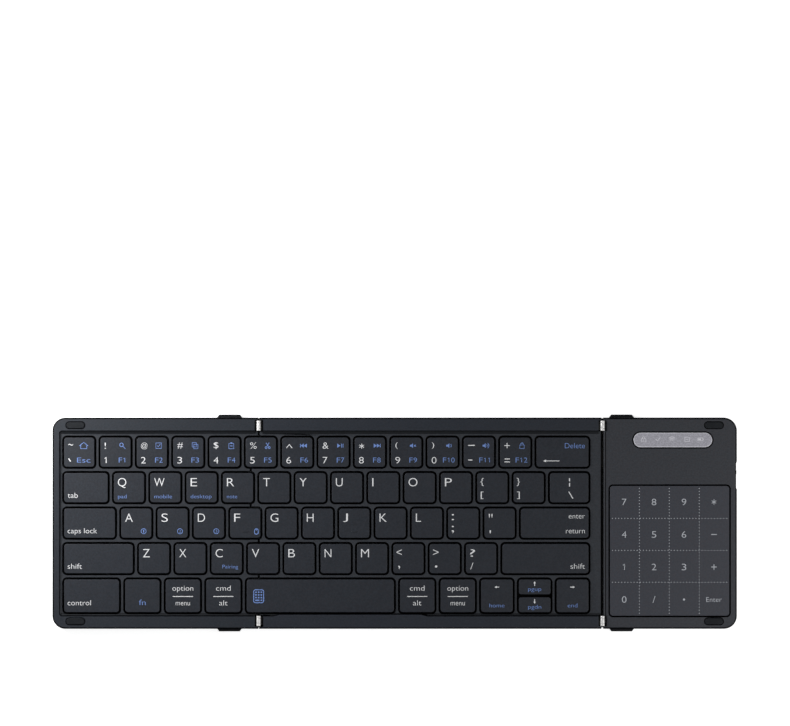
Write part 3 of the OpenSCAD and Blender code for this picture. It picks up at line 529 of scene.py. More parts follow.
def addKeycaps(node):
    bm = bmesh.new()
    caps = islandBoxes(node)
    for low, high in caps:
        half = high.y - low.y < keycap["halfDepth"]
        radius = keycap["halfCornerRadius" if half else "cornerRadius"]
        base = roundedBlock(bm, low, Vector((high.x, high.y, capTop)), radius, keycap["rim"])
        bmesh.ops.inset_region(bm, faces=[base], thickness=keycap["wall"], use_even_offset=True)
        raised(bm, base, capTop - low.z - keycap["roof"])
        if high.z > capTop + 0.1 * mm:
            addHomingBar(bm, low, high)
    bmesh.ops.recalc_face_normals(bm, faces=bm.faces)
    # below litRim the cap's rim and skirt take the painted-shadow black
    paintFaces(bm, lambda face, middle: int(middle.z < capTop - keycap["litRim"]))
    finishPiece(bm, node + "Caps", ["key", "shadow"], node, "keycap_plastic", [node])
    return caps


def addHomingBar(bm, low, high):
    middle = (low + high) / 2
    half = Vector(keycap["barHalf"])
    centre = Vector((middle.x, middle.y - keycap["barDown"], capTop - keycap["barSunk"]))
    upper = centre + half
    upper.z = high.z
    roundedBlock(bm, centre - half, upper, keycap["barCorner"], keycap["barRim"], 4)


keyNodes = {
    "left": ["number_keys_left", "top_row_keys_left", "home_row_keys_left", "bottom_row_keys_left",
             "tab_key", "caps_lock_key", "left_shift_key", "control_key", "left_modifier_keys"],
    "mid": ["number_keys_mid", "top_row_keys_mid", "home_row_keys_mid", "bottom_row_keys_mid",
            "backspace_key", "enter_key", "right_shift_key", "space_key", "right_modifier_keys",
            "side_arrow_keys", "up_arrow_key", "down_arrow_key"],
}
bodies = {"left": "left_panel", "mid": "middle_panel", "right": "right_panel"}
capBoxes = {node: addKeycaps(node) for nodes in keyNodes.values() for node in nodes}
print("keycaps made:", sum(len(caps) for caps in capBoxes.values()))


# domes and links under the caps
dome = {
    "sheetTop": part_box("left_domes")[0].z + 0.2 * mm,
    "radius": 2.2 * mm,
    "halfSize": 0.45,  # of the arrows' small domes
    "sides": 16,
    "foot": 0.35 * mm,
    # inset and rise in millimetres, from the foot up
    "steps": ((0.45, 0.3), (0.25, 2.2), (0.2, 0.25), (0.01, 0.75), (0.14, 0.25)),
    "pressed": 0.67,  # share of the height that is left
}


def addDomeSheet(panel):
    # the rubber sheet, closed where the solids' own domes stood
    bm = mergedMesh(panel + "_domes")
    level = dome["sheetTop"] + 0.01 * mm
    domes = [face for face in bm.faces if max(vert.co.z for vert in face.verts) > level]
    bmesh.ops.delete(bm, geom=domes, context="FACES")
    bmesh.ops.holes_fill(bm, edges=[edge for edge in bm.edges if edge.is_boundary], sides=0)
    finishPiece(bm, panel + "DomeSheet", ["sheet"], bodies[panel], "dome_rubber", [panel + "_domes"])


def finishYielding(bm, name, material, panel, slot, node, stands):
    # a piece under the caps, with a mesh of its own
    piece = finishPiece(bm, name, [material], bodies[panel], slot, [stands])
    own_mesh(piece)


def addDomes(node, panel):
    bm = bmesh.new()
    for low, high in capBoxes[node]:
        size = dome["halfSize"] if high.y - low.y < keycap["halfDepth"] else 1
        radius = dome["radius"] * size
        verts = bmesh.ops.create_circle(bm, cap_ends=True, segments=dome["sides"], radius=radius)["verts"]
        middle = (low + high) / 2
        bmesh.ops.translate(bm, vec=(middle.x, middle.y, dome["sheetTop"]), verts=verts)
        top = raised(bm, verts[0].link_faces[0], dome["foot"])
        for inset, rise in dome["steps"]:
            bmesh.ops.inset_region(bm, faces=[top], thickness=inset * size * mm, depth=rise * mm,
                                   use_even_offset=True)
    bmesh.ops.recalc_face_normals(bm, faces=bm.faces)
    finishYielding(bm, node + "Domes", "dome", panel, "dome_rubber", node, panel + "_domes")


def addLinks(node, panel, links):
    # the crossed frames that hold each cap level
    def isUnder(point):
        return any(low.x < point.x < high.x and low.y < point.y < high.y
                   for low, high in capBoxes[node])

    bm = links.copy()
    others = [face for face in bm.faces if not isUnder(face.calc_center_median())]
    bmesh.ops.delete(bm, geom=others, context="FACES")
    finishYielding(bm, node + "Links", "link", panel, "link_plastic", node, panel + "_scissors")


for panel, nodes in keyNodes.items():
    addDomeSheet(panel)
    links = mergedMesh(panel + "_scissors")
    for node in nodes:
        addDomes(node, panel)
        addLinks(node, panel, links)
    links.free()
print("domes and links made")


# letters, figures and signs are thin solids on a surface
ink = {
    "proud": 0.015 * mm,
    "weight": -0.01,  # how much bolder than the font, for a size of 1
    "spread": 1.06,  # how much wider than the font
    "lineWidth": 0.3 * mm,
}
letterWidths = dict(zip("ABCDEFGHIJKLMNOPQRSTUVWXYZ", (
    0.9, 0.8, 0.85, 0.86, 0.77, 0.71, 0.93, 0.8, 0.14, 0.56, 0.85, 0.62, 0.95,
    0.8, 1.05, 0.82, 1.0, 0.86, 0.76, 0.8, 0.8, 0.86, 1.22, 0.82, 0.84, 0.81)))  # of its height


def ring(x, y, radius, start=0, end=360, steps=20):
    turns = [radians(start + (end - start) * step / steps) for step in range(steps + 1)]
    return [(x + radius * cos(turn), y + radius * sin(turn)) for turn in turns]


def frameLine(x0, y0, x1, y1):
    return [(x0, y0), (x1, y0), (x1, y1), (x0, y1), (x0, y0)]


speaker = [(-0.95, 0.28), (-0.5, 0.28), (0, 0.75), (0, -0.75), (-0.5, -0.28), (-0.95, -0.28)]
signs = {  # lines and filled shapes in a box from -1 to 1
    "house": {"lines": [[(-1.35, -0.05), (0, 1), (1.35, -0.05)],
                        [(-0.95, 0.1), (-0.95, -0.9), (0.95, -0.9), (0.95, 0.1)]]},
    "glass": {"lines": [ring(-0.25, 0.25, 0.55), [(0.2, -0.2), (0.95, -0.95)]]},
    "selection": {"lines": [frameLine(-0.85, -0.85, 0.85, 0.85),
                            [(-0.4, 0), (-0.1, -0.35), (0.45, 0.4)]]},
    "pages": {"lines": [frameLine(-0.85, -0.4, 0.4, 0.95), frameLine(-0.35, -0.95, 0.9, 0.4)]},
    "clipboard": {"lines": [frameLine(-0.75, -0.95, 0.75, 0.7), [(-0.4, -0.1), (0.4, -0.1)]],
                  "shapes": [frameLine(-0.3, 0.6, 0.3, 1)[:4]]},
    "scissors": {"lines": [ring(-0.5, -0.62, 0.3), ring(0.5, -0.62, 0.3),
                           [(-0.33, -0.35), (0.5, 0.95)], [(0.33, -0.35), (-0.5, 0.95)]]},
    "previous": {"lines": [[(-1.1, 0.55), (-1.1, -0.55)]],
                 "shapes": [[(-1, 0), (-0.05, 0.65), (-0.05, -0.65)],
                            [(-0.05, 0), (0.9, 0.65), (0.9, -0.65)]]},
    "play": {"lines": [[(0.35, 0.6), (0.35, -0.6)], [(0.85, 0.6), (0.85, -0.6)]],
             "shapes": [[(-0.95, 0.65), (-0.95, -0.65), (0, 0)]]},
    "next": {"lines": [[(1.1, 0.55), (1.1, -0.55)]],
             "shapes": [[(1, 0), (0.05, -0.65), (0.05, 0.65)],
                        [(0.05, 0), (-0.9, -0.65), (-0.9, 0.65)]]},
    "mute": {"lines": [[(0.3, 0.28), (0.85, -0.28)], [(0.3, -0.28), (0.85, 0.28)]],
             "shapes": [speaker]},
    "quieter": {"shapes": [speaker], "lines": [ring(0, 0, 0.62, -50, 50, 8)]},
    "louder": {"lines": [ring(0, 0, 0.5, -50, 50, 8), ring(0, 0, 1.0, -50, 50, 10)],
               "shapes": [speaker]},
    "lock": {"lines": [frameLine(-0.8, -0.9, 0.8, 0.2),
                       [(-0.45, 0.2), *ring(0, 0.45, 0.45, 180, 0, 10), (0.45, 0.2)],
                       [(0, -0.2), (0, -0.5)]]},
    "padlock": {"lines": [frameLine(-0.68, -0.9, 0.68, 0.2),
                          [(-0.4, 0.2), *ring(0, 0.45, 0.4, 180, 0, 10), (0.4, 0.2)]]},
    "leftArrow": {"lines": [[(-0.4, 0), (1, 0)]], "shapes": [[(-1, 0), (-0.1, 0.5), (-0.1, -0.5)]]},
    "rightArrow": {"lines": [[(-1, 0), (0.4, 0)]], "shapes": [[(1, 0), (0.1, -0.5), (0.1, 0.5)]]},
    "upArrow": {"lines": [[(0, -1), (0, 0.4)]], "shapes": [[(0, 1), (-0.5, 0.1), (0.5, 0.1)]]},
    "downArrow": {"lines": [[(0, 1), (0, -0.4)]], "shapes": [[(0, -1), (0.5, -0.1), (-0.5, -0.1)]]},
    "dash": {"lines": [[(-1, 0), (1, 0)]]},
    "star": {"lines": [[(cos(turn) * -1, sin(turn) * -1), (cos(turn), sin(turn))]
                       for turn in (radians(30), radians(90), radians(150))]},
    "wave": {"lines": [ring(0, -0.8, 0.6, 40, 140, 8), ring(0, -0.8, 1.1, 40, 140, 8),
                       ring(0, -0.8, 1.6, 45, 135, 8)]},
    "caret": {"lines": [[(-1, -0.6), (0, 0.6), (1, -0.6)]]},
    "equals": {"lines": [[(-1, 0.55), (1, 0.55)], [(-1, -0.55), (1, -0.55)]]},
    "mouse": {"lines": [[*ring(0, 0.35, 0.75, 0, 180, 8), *ring(0, -0.35, 0.75, 180, 360, 8),
                         (0.75, 0.35)], [(0, 0.9), (0, 0.35)]]},
    "one": {"lines": [[(-0.42, 0.6), (0.12, 1), (0.12, -1)]]},
    "grave": {"lines": [[(-0.5, 0.65), (0.4, -0.6)]]},
    "frame": {"lines": [frameLine(-0.85, -0.75, 0.85, 0.75), [(-0.45, 0), (0.45, 0)]]},
    "tick": {"lines": [[(-0.8, 0.1), (-0.2, -0.6), (0.85, 0.7)]]},
    "cell": {"lines": [frameLine(-1, -0.5, 0.8, 0.5), [(1, -0.2), (1, 0.2)]],
             "shapes": [frameLine(-0.8, -0.28, 0.1, 0.28)[:4]]},
}


class Print:
    # collects printed marks for one piece; inks are its materials in order
    def __init__(self, z, inks):
        self.bm = bmesh.new()
        self.z = z
        self.inks = inks
        curve = bpy.data.curves.new("lettering", "FONT")
        curve.resolution_u = 5
        curve.extrude = ink["proud"]
        self.text = bpy.data.objects.new("lettering", curve)
        curve.body = "H"
        sample = bpy.data.meshes.new_from_object(self.text)
        self.capital = max(vert.co.y for vert in sample.vertices)
        bpy.data.meshes.remove(sample)
        line = bpy.data.curves.new("line", "CURVE")
        line.dimensions = "3D"
        line.bevel_resolution = 1
        line.use_fill_caps = True
        self.line = bpy.data.objects.new("line", line)

    def take(self, mesh, x, y, scale, origin, inkName):
        # adds a mesh, scaled, with its own point origin at x, y
        matrix = Matrix.Translation((x, y, self.z)) @ Matrix.Diagonal((*scale, 1))
        mesh.transform(matrix @ Matrix.Translation((-origin[0], -origin[1], 0)))
        for polygon in mesh.polygons:
            polygon.material_index = self.inks.index(inkName)
        self.bm.from_mesh(mesh)
        bpy.data.meshes.remove(mesh)

    def lettering(self, text, height):
        # a text's mesh, for a capital's height, and its corners
        curve = self.text.data
        curve.body = text
        curve.size = height / self.capital
        curve.offset = ink["weight"] * curve.size
        mesh = bpy.data.meshes.new_from_object(self.text)
        ends = (Vector(tuple(pick(vert.co[axis] for vert in mesh.vertices) for axis in range(2)))
                for pick in (min, max))
        return mesh, *ends

    def words(self, text, x, y, height, inkName="white", anchor=0.5, width=None):
        # y is the baseline; anchor is the part of the width that lies left of x
        mesh, low, high = self.lettering(text, height)
        stretch = width / (high.x - low.x) if width else ink["spread"]
        start = low.x + (high.x - low.x) * anchor
        self.take(mesh, x, y, (stretch, 1, 1), (start, 0), inkName)

    def fitted(self, text, x, y, width, height, inkName="white"):
        # a mark that fills a box whose middle is x, y
        mesh, low, high = self.lettering(text, height)
        size = high - low
        self.take(mesh, x, y, (width / size.x, height / size.y, 1), (low + high) / 2, inkName)

    def strokes(self, lines, x, y, size, width, inkName="white"):
        curve = self.line.data
        curve.splines.clear()
        curve.bevel_depth = width / 2
        for points in lines:
            spline = curve.splines.new("POLY")
            closed = (Vector(points[0]) - Vector(points[-1])).length < 1e-6
            points = points[:-1] if closed else points
            spline.points.add(len(points) - 1)
            for point, (px, py) in zip(spline.points, points):
                point.co = (px * size, py * size, 0, 1)
            spline.use_cyclic_u = closed
        mesh = bpy.data.meshes.new_from_object(self.line)
        self.take(mesh, x, y, (1, 1, 2 * ink["proud"] / width), (0, 0), inkName)

    def shape(self, points, x, y, size, inkName="white"):
        low = self.z - ink["proud"]
        face = self.bm.faces.new([self.bm.verts.new((x + px * size, y + py * size, low))
                                  for px, py in points])
        top = raised(self.bm, face, 2 * ink["proud"])
        for made in {face, top, *(f for edge in top.edges for f in edge.link_faces)}:
            made.material_index = self.inks.index(inkName)

    def sign(self, name, x, y, size, inkName="white", width=None):
        # a sign in a box of plus and minus size
        drawn = signs[name]
        if drawn.get("lines"):
            self.strokes(drawn["lines"], x, y, size, width or ink["lineWidth"], inkName)
        for points in drawn.get("shapes", []):
            self.shape(points, x, y, size, inkName)

    def finish(self, name, body):
        bmesh.ops.recalc_face_normals(self.bm, faces=self.bm.faces)
        for helper in (self.text, self.line):
            bpy.data.objects.remove(helper)
        return finishPiece(self.bm, name, self.inks, body)


legend = {  # millimetres from a cap's left and top edges, and heights
    "left": 2.15,
    "upper": 3.92,
    "lower": 10.72,
    "digitWidth": 2.2,
    "digitHeight": 3.0,
    "icon": (10.35, 3.95, 1.5),
    "function": (10.45, 10.65, 2.3),
    "firstWidth": 6.2,  # of the first key's function
    "figureWidth": 1.55,
    "figureGap": 0.38,
    "figureLine": 0.32,  # of a 1, which is drawn
    "figureShift": 0.35,  # to the left, for each figure past two
    "firstColumn": 9.3,  # where the icon and the function stand on the first key
    "letter": (2.05, 4.45, 3.9),
    "note": (2.1, 11.05, 1.75),
    "channel": (10.65, 10.75, 1.18),
    "channelLine": 0.26,
    "channelFigure": (0.5, 0.85, 1.3),  # width of a 1, of the others, and height
    "mouse": (12.4, 10.9, 1.15),
    "mouseLine": 0.34,
    "pairing": (8.85, 10.7, 1.7),
    "pairingWidth": 7.3,
    "wordHeight": 2.4,
    "wordInset": 1.85,
    "wordRise": 2.28,
    "upperWord": 5.4,
    "ruleLine": 8.1,
    "ruleHalf": 4.7,
    "ruleWidth": 0.34,
    "lowerWord": 12.25,
}
markSizes = {  # width, height and rise
    "!": (0.55, 2.9, 0), "@": (3.0, 3.0, -0.15), "#": (2.6, 2.9, 0), "$": (2.2, 3.2, 0),
    "%": (3.1, 2.9, 0), "^": (2.7, 1.6, -0.3), "&": (2.7, 2.9, 0), "*": (2.5, 2.5, -0.3),
    "(": (1.15, 3.2, 0), ")": (1.15, 3.2, 0), "+": (2.5, 2.5, 0), "=": (2.6, 1.4, -0.1),
    "~": (2.2, 0.8, 0.4), "dash": (3.2, 0.4, 0.1), "-": (2.0, 0.4, 0.1), "1": (1.1, 3.0, 0),
    "`": (1.3, 1.7, 0.1),
}
drawnMarks = {  # the marks that are drawn as signs: sign, size and line width
    "dash": ("dash", 1.6, 0.4), "-": ("dash", 1.0, 0.4), "1": ("one", 1.28, 0.44), "`": ("grave", 1.1, 0.5),
    "^": ("caret", 1.3, 0.42), "*": ("star", 1.2, 0.34), "=": ("equals", 1.25, 0.4),
}
pairMarks = {  # right, down, width and height
    "{": (2.45, 4.35, 1.5, 3.7), "[": (2.45, 10.55, 1.3, 3.45), "}": (2.4, 4.35, 1.5, 3.7),
    "]": (2.4, 10.55, 1.3, 3.45), "\u00a6": (9.3, 4.55, 0.5, 3.8), "\\": (9.9, 10.45, 2.4, 3.2),
    ":": (2.35, 4.2, 1.0, 2.9), ";": (2.35, 9.95, 1.05, 3.4), "\"": (3.05, 3.55, 1.7, 1.75),
    "'": (2.85, 11.05, 0.6, 1.45), "<": (2.9, 4.0, 2.5, 2.55), ",": (2.9, 11.1, 0.8, 1.7),
    ">": (3.05, 4.0, 2.5, 2.55), ".": (3.2, 10.65, 1.05, 1.05), "?": (3.25, 4.35, 2.4, 3.4),
    "/": (2.9, 10.4, 1.4, 3.1),
}


arrow = {
    "half": 1.1 * mm,
    "line": 0.36 * mm,
    "word": 1.8 * mm,  # height
    "whole": (3.75, 13.15),  # how far down the sign and the word stand on a whole key
    "shallow": (2.1, 5.5),  # and on a half key
}


class Cap:
    # one keycap's place, from which its marks are measured
    def __init__(self, ends):
        self.low, self.high = ends

    def at(self, right, down):
        return self.low.x + right * mm, self.high.y - down * mm

    def middle(self):
        return (self.low.x + self.high.x) / 2


def leftMark(sheet, cap, mark, down):
    # a digit or a sign whose left edge stands in line with the others
    width, height, rise = markSizes.get(mark, (legend["digitWidth"], legend["digitHeight"], 0))
    x, y = cap.at(legend["left"] + width / 2, down - rise)
    if mark in drawnMarks:
        name, size, line = drawnMarks[mark]
        sheet.sign(name, x, y, size * mm, width=line * mm)
    else:
        sheet.fitted(mark, x, y, width * mm, height * mm)


def numberKey(sheet, cap, marks):
    upper, lower, icon, function = marks
    leftMark(sheet, cap, upper, legend["upper"])
    leftMark(sheet, cap, lower, legend["lower"])
    first = function == "Esc"
    right, down, size = legend["icon"]
    x, y = cap.at(legend["firstColumn"] if first else right, down)
    sheet.sign(icon, x, y, size * mm, "blue")
    right, down, height = legend["function"]
    if first:
        x, y = cap.at(legend["firstColumn"], down)
        sheet.words(function, x, y - height * mm / 2, height * mm, "blue", width=legend["firstWidth"] * mm)
        return
    pitch = legend["figureWidth"] + legend["figureGap"]
    right -= pitch * (len(function) - 1) / 2 + legend["figureShift"] * (len(function) - 2)
    for index, figure in enumerate(function):
        x, y = cap.at(right + index * pitch, down)
        if figure == "1":
            line = legend["figureLine"]
            sheet.sign("one", x, y, (height - line) / 2 * mm, "blue", line * mm)
        else:
            sheet.fitted(figure, x, y, legend["figureWidth"] * mm, height * mm, "blue")


def letterKey(sheet, cap, letter):
    left, down, height = legend["letter"]
    width = letterWidths[letter] * height
    if letter == "J":
        sheet.fitted(letter, *cap.at(left + width / 2, down), width * mm, height * mm)
    else:
        x, y = cap.at(left, down + height / 2)
        sheet.words(letter, x, y, height * mm, anchor=0, width=width * mm)


def pairKey(sheet, cap, marks):
    for mark in marks:
        right, down, width, height = pairMarks[mark]
        sheet.fitted(mark, *cap.at(right, down), width * mm, height * mm)


def cornerWord(sheet, cap, word, width, side=0, down=None, inkName="white", rise=legend["wordRise"]):
    # side is 0 for the left corner and 1 for the right one, down is from the top, rise from below
    inset = legend["wordInset"] * mm
    x = cap.high.x - inset if side else cap.low.x + inset
    y = cap.low.y + rise * mm if down is None else cap.high.y - down * mm
    sheet.words(word, x, y, legend["wordHeight"] * mm, inkName, side, width * mm)


def modifierKey(sheet, cap, upper, lower):
    height = legend["wordHeight"] * mm
    for (word, width), down in zip((upper, lower), (legend["upperWord"], legend["lowerWord"])):
        sheet.words(word, cap.middle(), cap.high.y - down * mm, height, width=width * mm)
    sheet.sign("dash", cap.middle(), cap.high.y - legend["ruleLine"] * mm, legend["ruleHalf"] * mm,
               width=legend["ruleWidth"] * mm)


def channelMark(sheet, cap, number):
    if number == "4":
        right, down, size = legend["mouse"]
        sheet.sign("mouse", *cap.at(right, down), size * mm, "blue", legend["mouseLine"] * mm)
        return
    right, down, radius = legend["channel"]
    narrow, wide, height = legend["channelFigure"]
    x, y = cap.at(right, down)
    sheet.strokes([ring(0, 0, 1)], x, y, radius * mm, legend["channelLine"] * mm, "blue")
    sheet.fitted(number, x, y, (narrow if number == "1" else wide) * mm, height * mm, "blue")


def arrowKey(sheet, cap, sign, word, width, down, wordDown):
    sheet.sign(sign, cap.middle(), cap.high.y - down * mm, arrow["half"], width=arrow["line"])
    sheet.words(word, cap.middle(), cap.high.y - wordDown * mm, arrow["word"], "blue", width=width * mm)


def roundedLine(x, y, radius):
    # a closed line round a box with round corners, whose middle is the origin
    corners = ((x, y, 0), (-x, y, 90), (-x, -y, 180), (x, -y, 270))
    points = [point for cx, cy, start in corners
              for point in ring(cx - radius * (1 if cx > 0 else -1), cy - radius * (1 if cy > 0 else -1),
                                radius, start, start + 90, 4)]
    return points + points[:1]


padMark = {  # the small number pad on the space bar
    "place": (5.75, 8.0),  # millimetres right and down
    "half": (2.3 * mm, 3.0 * mm),
    "corner": 0.8 * mm,
    "line": 0.4 * mm,
    "pitch": 1.25 * mm,
    "key": (0.36, 0.33),  # half sizes
    "wideKey": (0.98, 0.33),
    "wideKeyAt": (-0.63 * mm, -1.88 * mm),
}


def numberPadMark(sheet, x, y):
    outline = roundedLine(*padMark["half"], padMark["corner"])
    sheet.strokes([outline], x, y, 1, padMark["line"], "blue")

    def key(half, right, up):
        width, height = half
        sheet.shape(frameLine(-width, -height, width, height)[:4], x + right, y + up, mm, "blue")

    for row in range(4):
        for column in range(3):
            if row < 3 or column == 2:
                key(padMark["key"], (column - 1) * padMark["pitch"], (1.5 - row) * padMark["pitch"])
    key(padMark["wideKey"], *padMark["wideKeyAt"])


def printOn(node, draw):
    # draw(sheet, caps) puts the legends of a node on its caps
    sheet = Print(capTop, ["white", "blue"])
    draw(sheet, [Cap(ends) for ends in capBoxes[node]])
    sheet.finish(node + "Legend", node)


numberMarks = [("~", "`", "house", "Esc"), ("!", "1", "glass", "F1"), ("@", "2", "selection", "F2"),
               ("#", "3", "pages", "F3"), ("$", "4", "clipboard", "F4"), ("%", "5", "scissors", "F5"),
               ("^", "6", "previous", "F6"), ("&", "7", "play", "F7"), ("*", "8", "next", "F8"),
               ("(", "9", "mute", "F9"), (")", "0", "quieter", "F10"), ("dash", "-", "louder", "F11"),
               ("+", "=", "padlock", "F12")]


def printNumberRow():
    waiting = iter(numberMarks)

    def draw(sheet, caps):
        for cap in caps:
            numberKey(sheet, cap, next(waiting))

    for node in ("number_keys_left", "number_keys_mid"):
        printOn(node, draw)


def blueWord(sheet, cap, place, word, width, anchor=0.5):
    right, down, height = place
    x, y = cap.at(right, down + height / 2)
    sheet.words(word, x, y, height * mm, "blue", anchor, width * mm)


def printLetterRow(nodes, letters, pairs, notes=(), channels=(), pairingAt=None):
    # letters first, then the keys with two signs; notes stand under the first letters
    waiting = iter(enumerate([*letters, *pairs]))

    def draw(sheet, caps):
        for cap in caps:
            index, marks = next(waiting)
            if len(marks) == 1:
                letterKey(sheet, cap, marks)
            else:
                pairKey(sheet, cap, marks)
            if index < len(notes):
                blueWord(sheet, cap, legend["note"], *notes[index], 0)
            if index < len(channels):
                channelMark(sheet, cap, channels[index])
            if index == pairingAt:
                blueWord(sheet, cap, legend["pairing"], "Pairing", legend["pairingWidth"])

    for node in nodes:
        printOn(node, draw)


cornerWords = {  # what cornerWord says on each key
    "tab_key": [("tab", 4.7)],
    "caps_lock_key": [("caps lock", 13.6)],
    "left_shift_key": [("shift", 6.6)],
    "control_key": [("control", 10.8, 0, None, "white", 3.4)],
    "backspace_key": [("Delete", 9.3, 1, 5.15, "blue")],
    "enter_key": [("enter", 7.5, 1, 4.85), ("return", 8.8, 1)],
    "right_shift_key": [("shift", 6.7, 1)],
}
backArrow = {
    "place": (7.0, 11.05),  # millimetres right and down
    "half": 3.8 * mm,
    "line": 0.32 * mm,
}
functionKey = {
    "baseline": 12.1,
    "height": 2.5,
    "width": 3.1,
}
frontWords = {  # upper and lower word with their widths
    "command": (("cmd", 6.8), ("alt", 3.9)),
    "option": (("option", 9.7), ("menu", 6.6)),
}


def printWordKeys():
    for node, words in cornerWords.items():
        def draw(sheet, caps):
            for word in words:
                cornerWord(sheet, caps[0], *word)
            if node == "backspace_key":
                x, y = caps[0].at(*backArrow["place"])
                sheet.strokes([[(-0.8, 0), (1, 0)]], x, y, backArrow["half"], backArrow["line"])
                sheet.shape([(-1, 0), (-0.62, 0.15), (-0.62, -0.15)], x, y, backArrow["half"])

        printOn(node, draw)


def printFrontRow():
    def leftOnes(sheet, caps):
        down, height, width = (functionKey[name] * mm for name in ("baseline", "height", "width"))
        sheet.words("fn", caps[0].middle(), caps[0].high.y - down, height, "blue", width=width)
        for cap, name in zip(caps[1:], ("option", "command")):
            modifierKey(sheet, cap, *frontWords[name])

    def rightOnes(sheet, caps):
        for cap, name in zip(caps, ("command", "option")):
            modifierKey(sheet, cap, *frontWords[name])

    printOn("left_modifier_keys", leftOnes)
    printOn("right_modifier_keys", rightOnes)
    printOn("space_key", lambda sheet, caps: numberPadMark(sheet, *caps[0].at(*padMark["place"])))


def printArrows():
    arrows = {
        "side_arrow_keys": [("leftArrow", "home", 7.0, *arrow["whole"]),
                            ("rightArrow", "end", 4.5, *arrow["whole"])],
        "up_arrow_key": [("upArrow", "pgup", 6.1, *arrow["shallow"])],
        "down_arrow_key": [("downArrow", "pgdn", 6.1, *arrow["shallow"])],
    }
    for node, marks in arrows.items():
        def draw(sheet, caps):
            for cap, mark in zip(caps, marks):
                arrowKey(sheet, cap, *mark)

        printOn(node, draw)


printNumberRow()
printLetterRow(["top_row_keys_left", "top_row_keys_mid"], "QWERTYUIOP", ["{[", "}]", "\u00a6\\"],
               notes=[("pad", 4.0), ("mobile", 8.2), ("desktop", 9.7), ("note", 4.7)])
printLetterRow(["home_row_keys_left", "home_row_keys_mid"], "ASDFGHJKL", [":;", "\"'"], channels="1234")
printLetterRow(["bottom_row_keys_left", "bottom_row_keys_mid"], "ZXCVBNM", ["<,", ">.", "?/"], pairingAt=2)
printWordKeys()
printFrontRow()
printArrows()
print("legends printed")


shell = {
    "corner": 6 * mm,
    "outerRound": 0.78 * mm,
    "topRound": 0.3 * mm,
    "windowRound": 0.45 * mm,
    "openingRound": 0.27 * mm,
    "seam": 0.15 * mm,
    "rimWidth": 3.4 * mm,
    "recessCorner": 1.2 * mm,
    "rearSlope": 1.45 * mm,  # how far the strips' inner faces slope down towards the keys
    "frontSlope": 0.6 * mm,
    "rimSlope": 0.5 * mm,
    "lipEnds": (midLow.x + 6.3 * mm, midLow.x + 78.3 * mm),  # of the front strip's wider part
    "lipPlay": 0.6 * mm,
    "ledgeLow": 1.5 * mm,
    "ledgeHigh": 2.1 * mm,
    "ledgeShort": 0.4 * mm,  # from the rear and front edges
    "ledgeGap": 0.05 * mm,
    "ledgeOverlap": 0.3 * mm,
    "tongue": 43 * mm,  # the left fold has its ledges outside this
    "skin": 0.4 * mm,  # how deep the painted-shade outline reaches
    "rimFall": 1.5 * mm,  # how far down the rounded rim reaches, at most
    "slopeFrom": 0.2 * mm,  # above the deck
    "slopeTo": 0.31 * mm,  # below the top
    "band": 5 * mm,  # the left panel's band, where the rim's slopes take the deck's painted highlight
    "foldReach": 2.5 * mm,
    "groove": (0.5 * mm, 1.25 * mm, 0.3 * mm),  # beside the right fold: from, to and depth
    "grooveShort": 0.3 * mm,
    "grooveFlank": 0.12 * mm,
    "scoop": (15.7 * mm, 28.7 * mm, 0.35 * mm),  # in the right edge, for the switch: from, to and depth
    "scoopRamp": 0.8 * mm,
}


def near(value, target):
    return abs(value - target) < slack


def depthInside(point):
    # how far a point lies inside the open keyboard's outline
    across = min(point.x - leftLow.x, rightHigh.x - point.x)
    along = rearY - abs(point.y)
    corner = shell["corner"]
    if across < corner and along < corner:
        return corner - Vector((corner - across, corner - along)).length
    return min(across, along)


def cut(bm, point, normal):
    bmesh.ops.bisect_plane(bm, geom=[*bm.verts, *bm.edges, *bm.faces], plane_co=point, plane_no=normal)


def slopeStrips(bm):
    # the strips behind and in front of the keys slope down to the deck
    lipLow, lipHigh = shell["lipEnds"]
    for x in (lipLow - shell["lipPlay"], lipHigh + shell["lipPlay"]):
        cut(bm, (x, 0, 0), (1, 0, 0))
    radius = shell["recessCorner"]
    centreX = leftLow.x + shell["rimWidth"] + radius
    for vert in bm.verts:
        if not near(vert.co.z, deckZ):
            continue
        # how far the recess's outline turns from its side towards its end, where it is round
        past = Vector((max(0, centreX - vert.co.x), max(0, abs(vert.co.y) - (stripInner - radius))))
        if past.length > radius - slack and past.length < radius + slack:
            rear = vert.co.y > 0
            if rear or not lipLow - slack < vert.co.x < lipHigh + slack:
                slope = shell["rearSlope"] if rear else -shell["frontSlope"]
                vert.co.y -= slope * past.y / radius
            vert.co.x += shell["rimSlope"] * past.x / radius


def addLedge(bm, lowX, highX, lowY, highY):
    made = bmesh.ops.create_cube(bm, size=1)["verts"]
    low = Vector((lowX, lowY, shell["ledgeLow"]))
    high = Vector((highX, highY, shell["ledgeHigh"]))
    bmesh.ops.scale(bm, vec=high - low, verts=made)
    bmesh.ops.translate(bm, vec=(low + high) / 2, verts=made)


def openScoop(bm):
    # the switch's finger scoop runs through the edge's whole height and so shows from above
    start, end, depth = shell["scoop"]
    ramp = shell["scoopRamp"]
    for y in (start, start + ramp, end - ramp, end):
        cut(bm, (0, y, 0), (0, 1, 0))
    for vert in bm.verts:
        inward = rightHigh.x - vert.co.x
        if start + slack < vert.co.y < end - slack and inward < depth:
            vert.co.x = rightHigh.x - depth
    bmesh.ops.remove_doubles(bm, verts=bm.verts, dist=0.001 * mm)
    bmesh.ops.dissolve_degenerate(bm, dist=0.0005 * mm, edges=bm.edges)


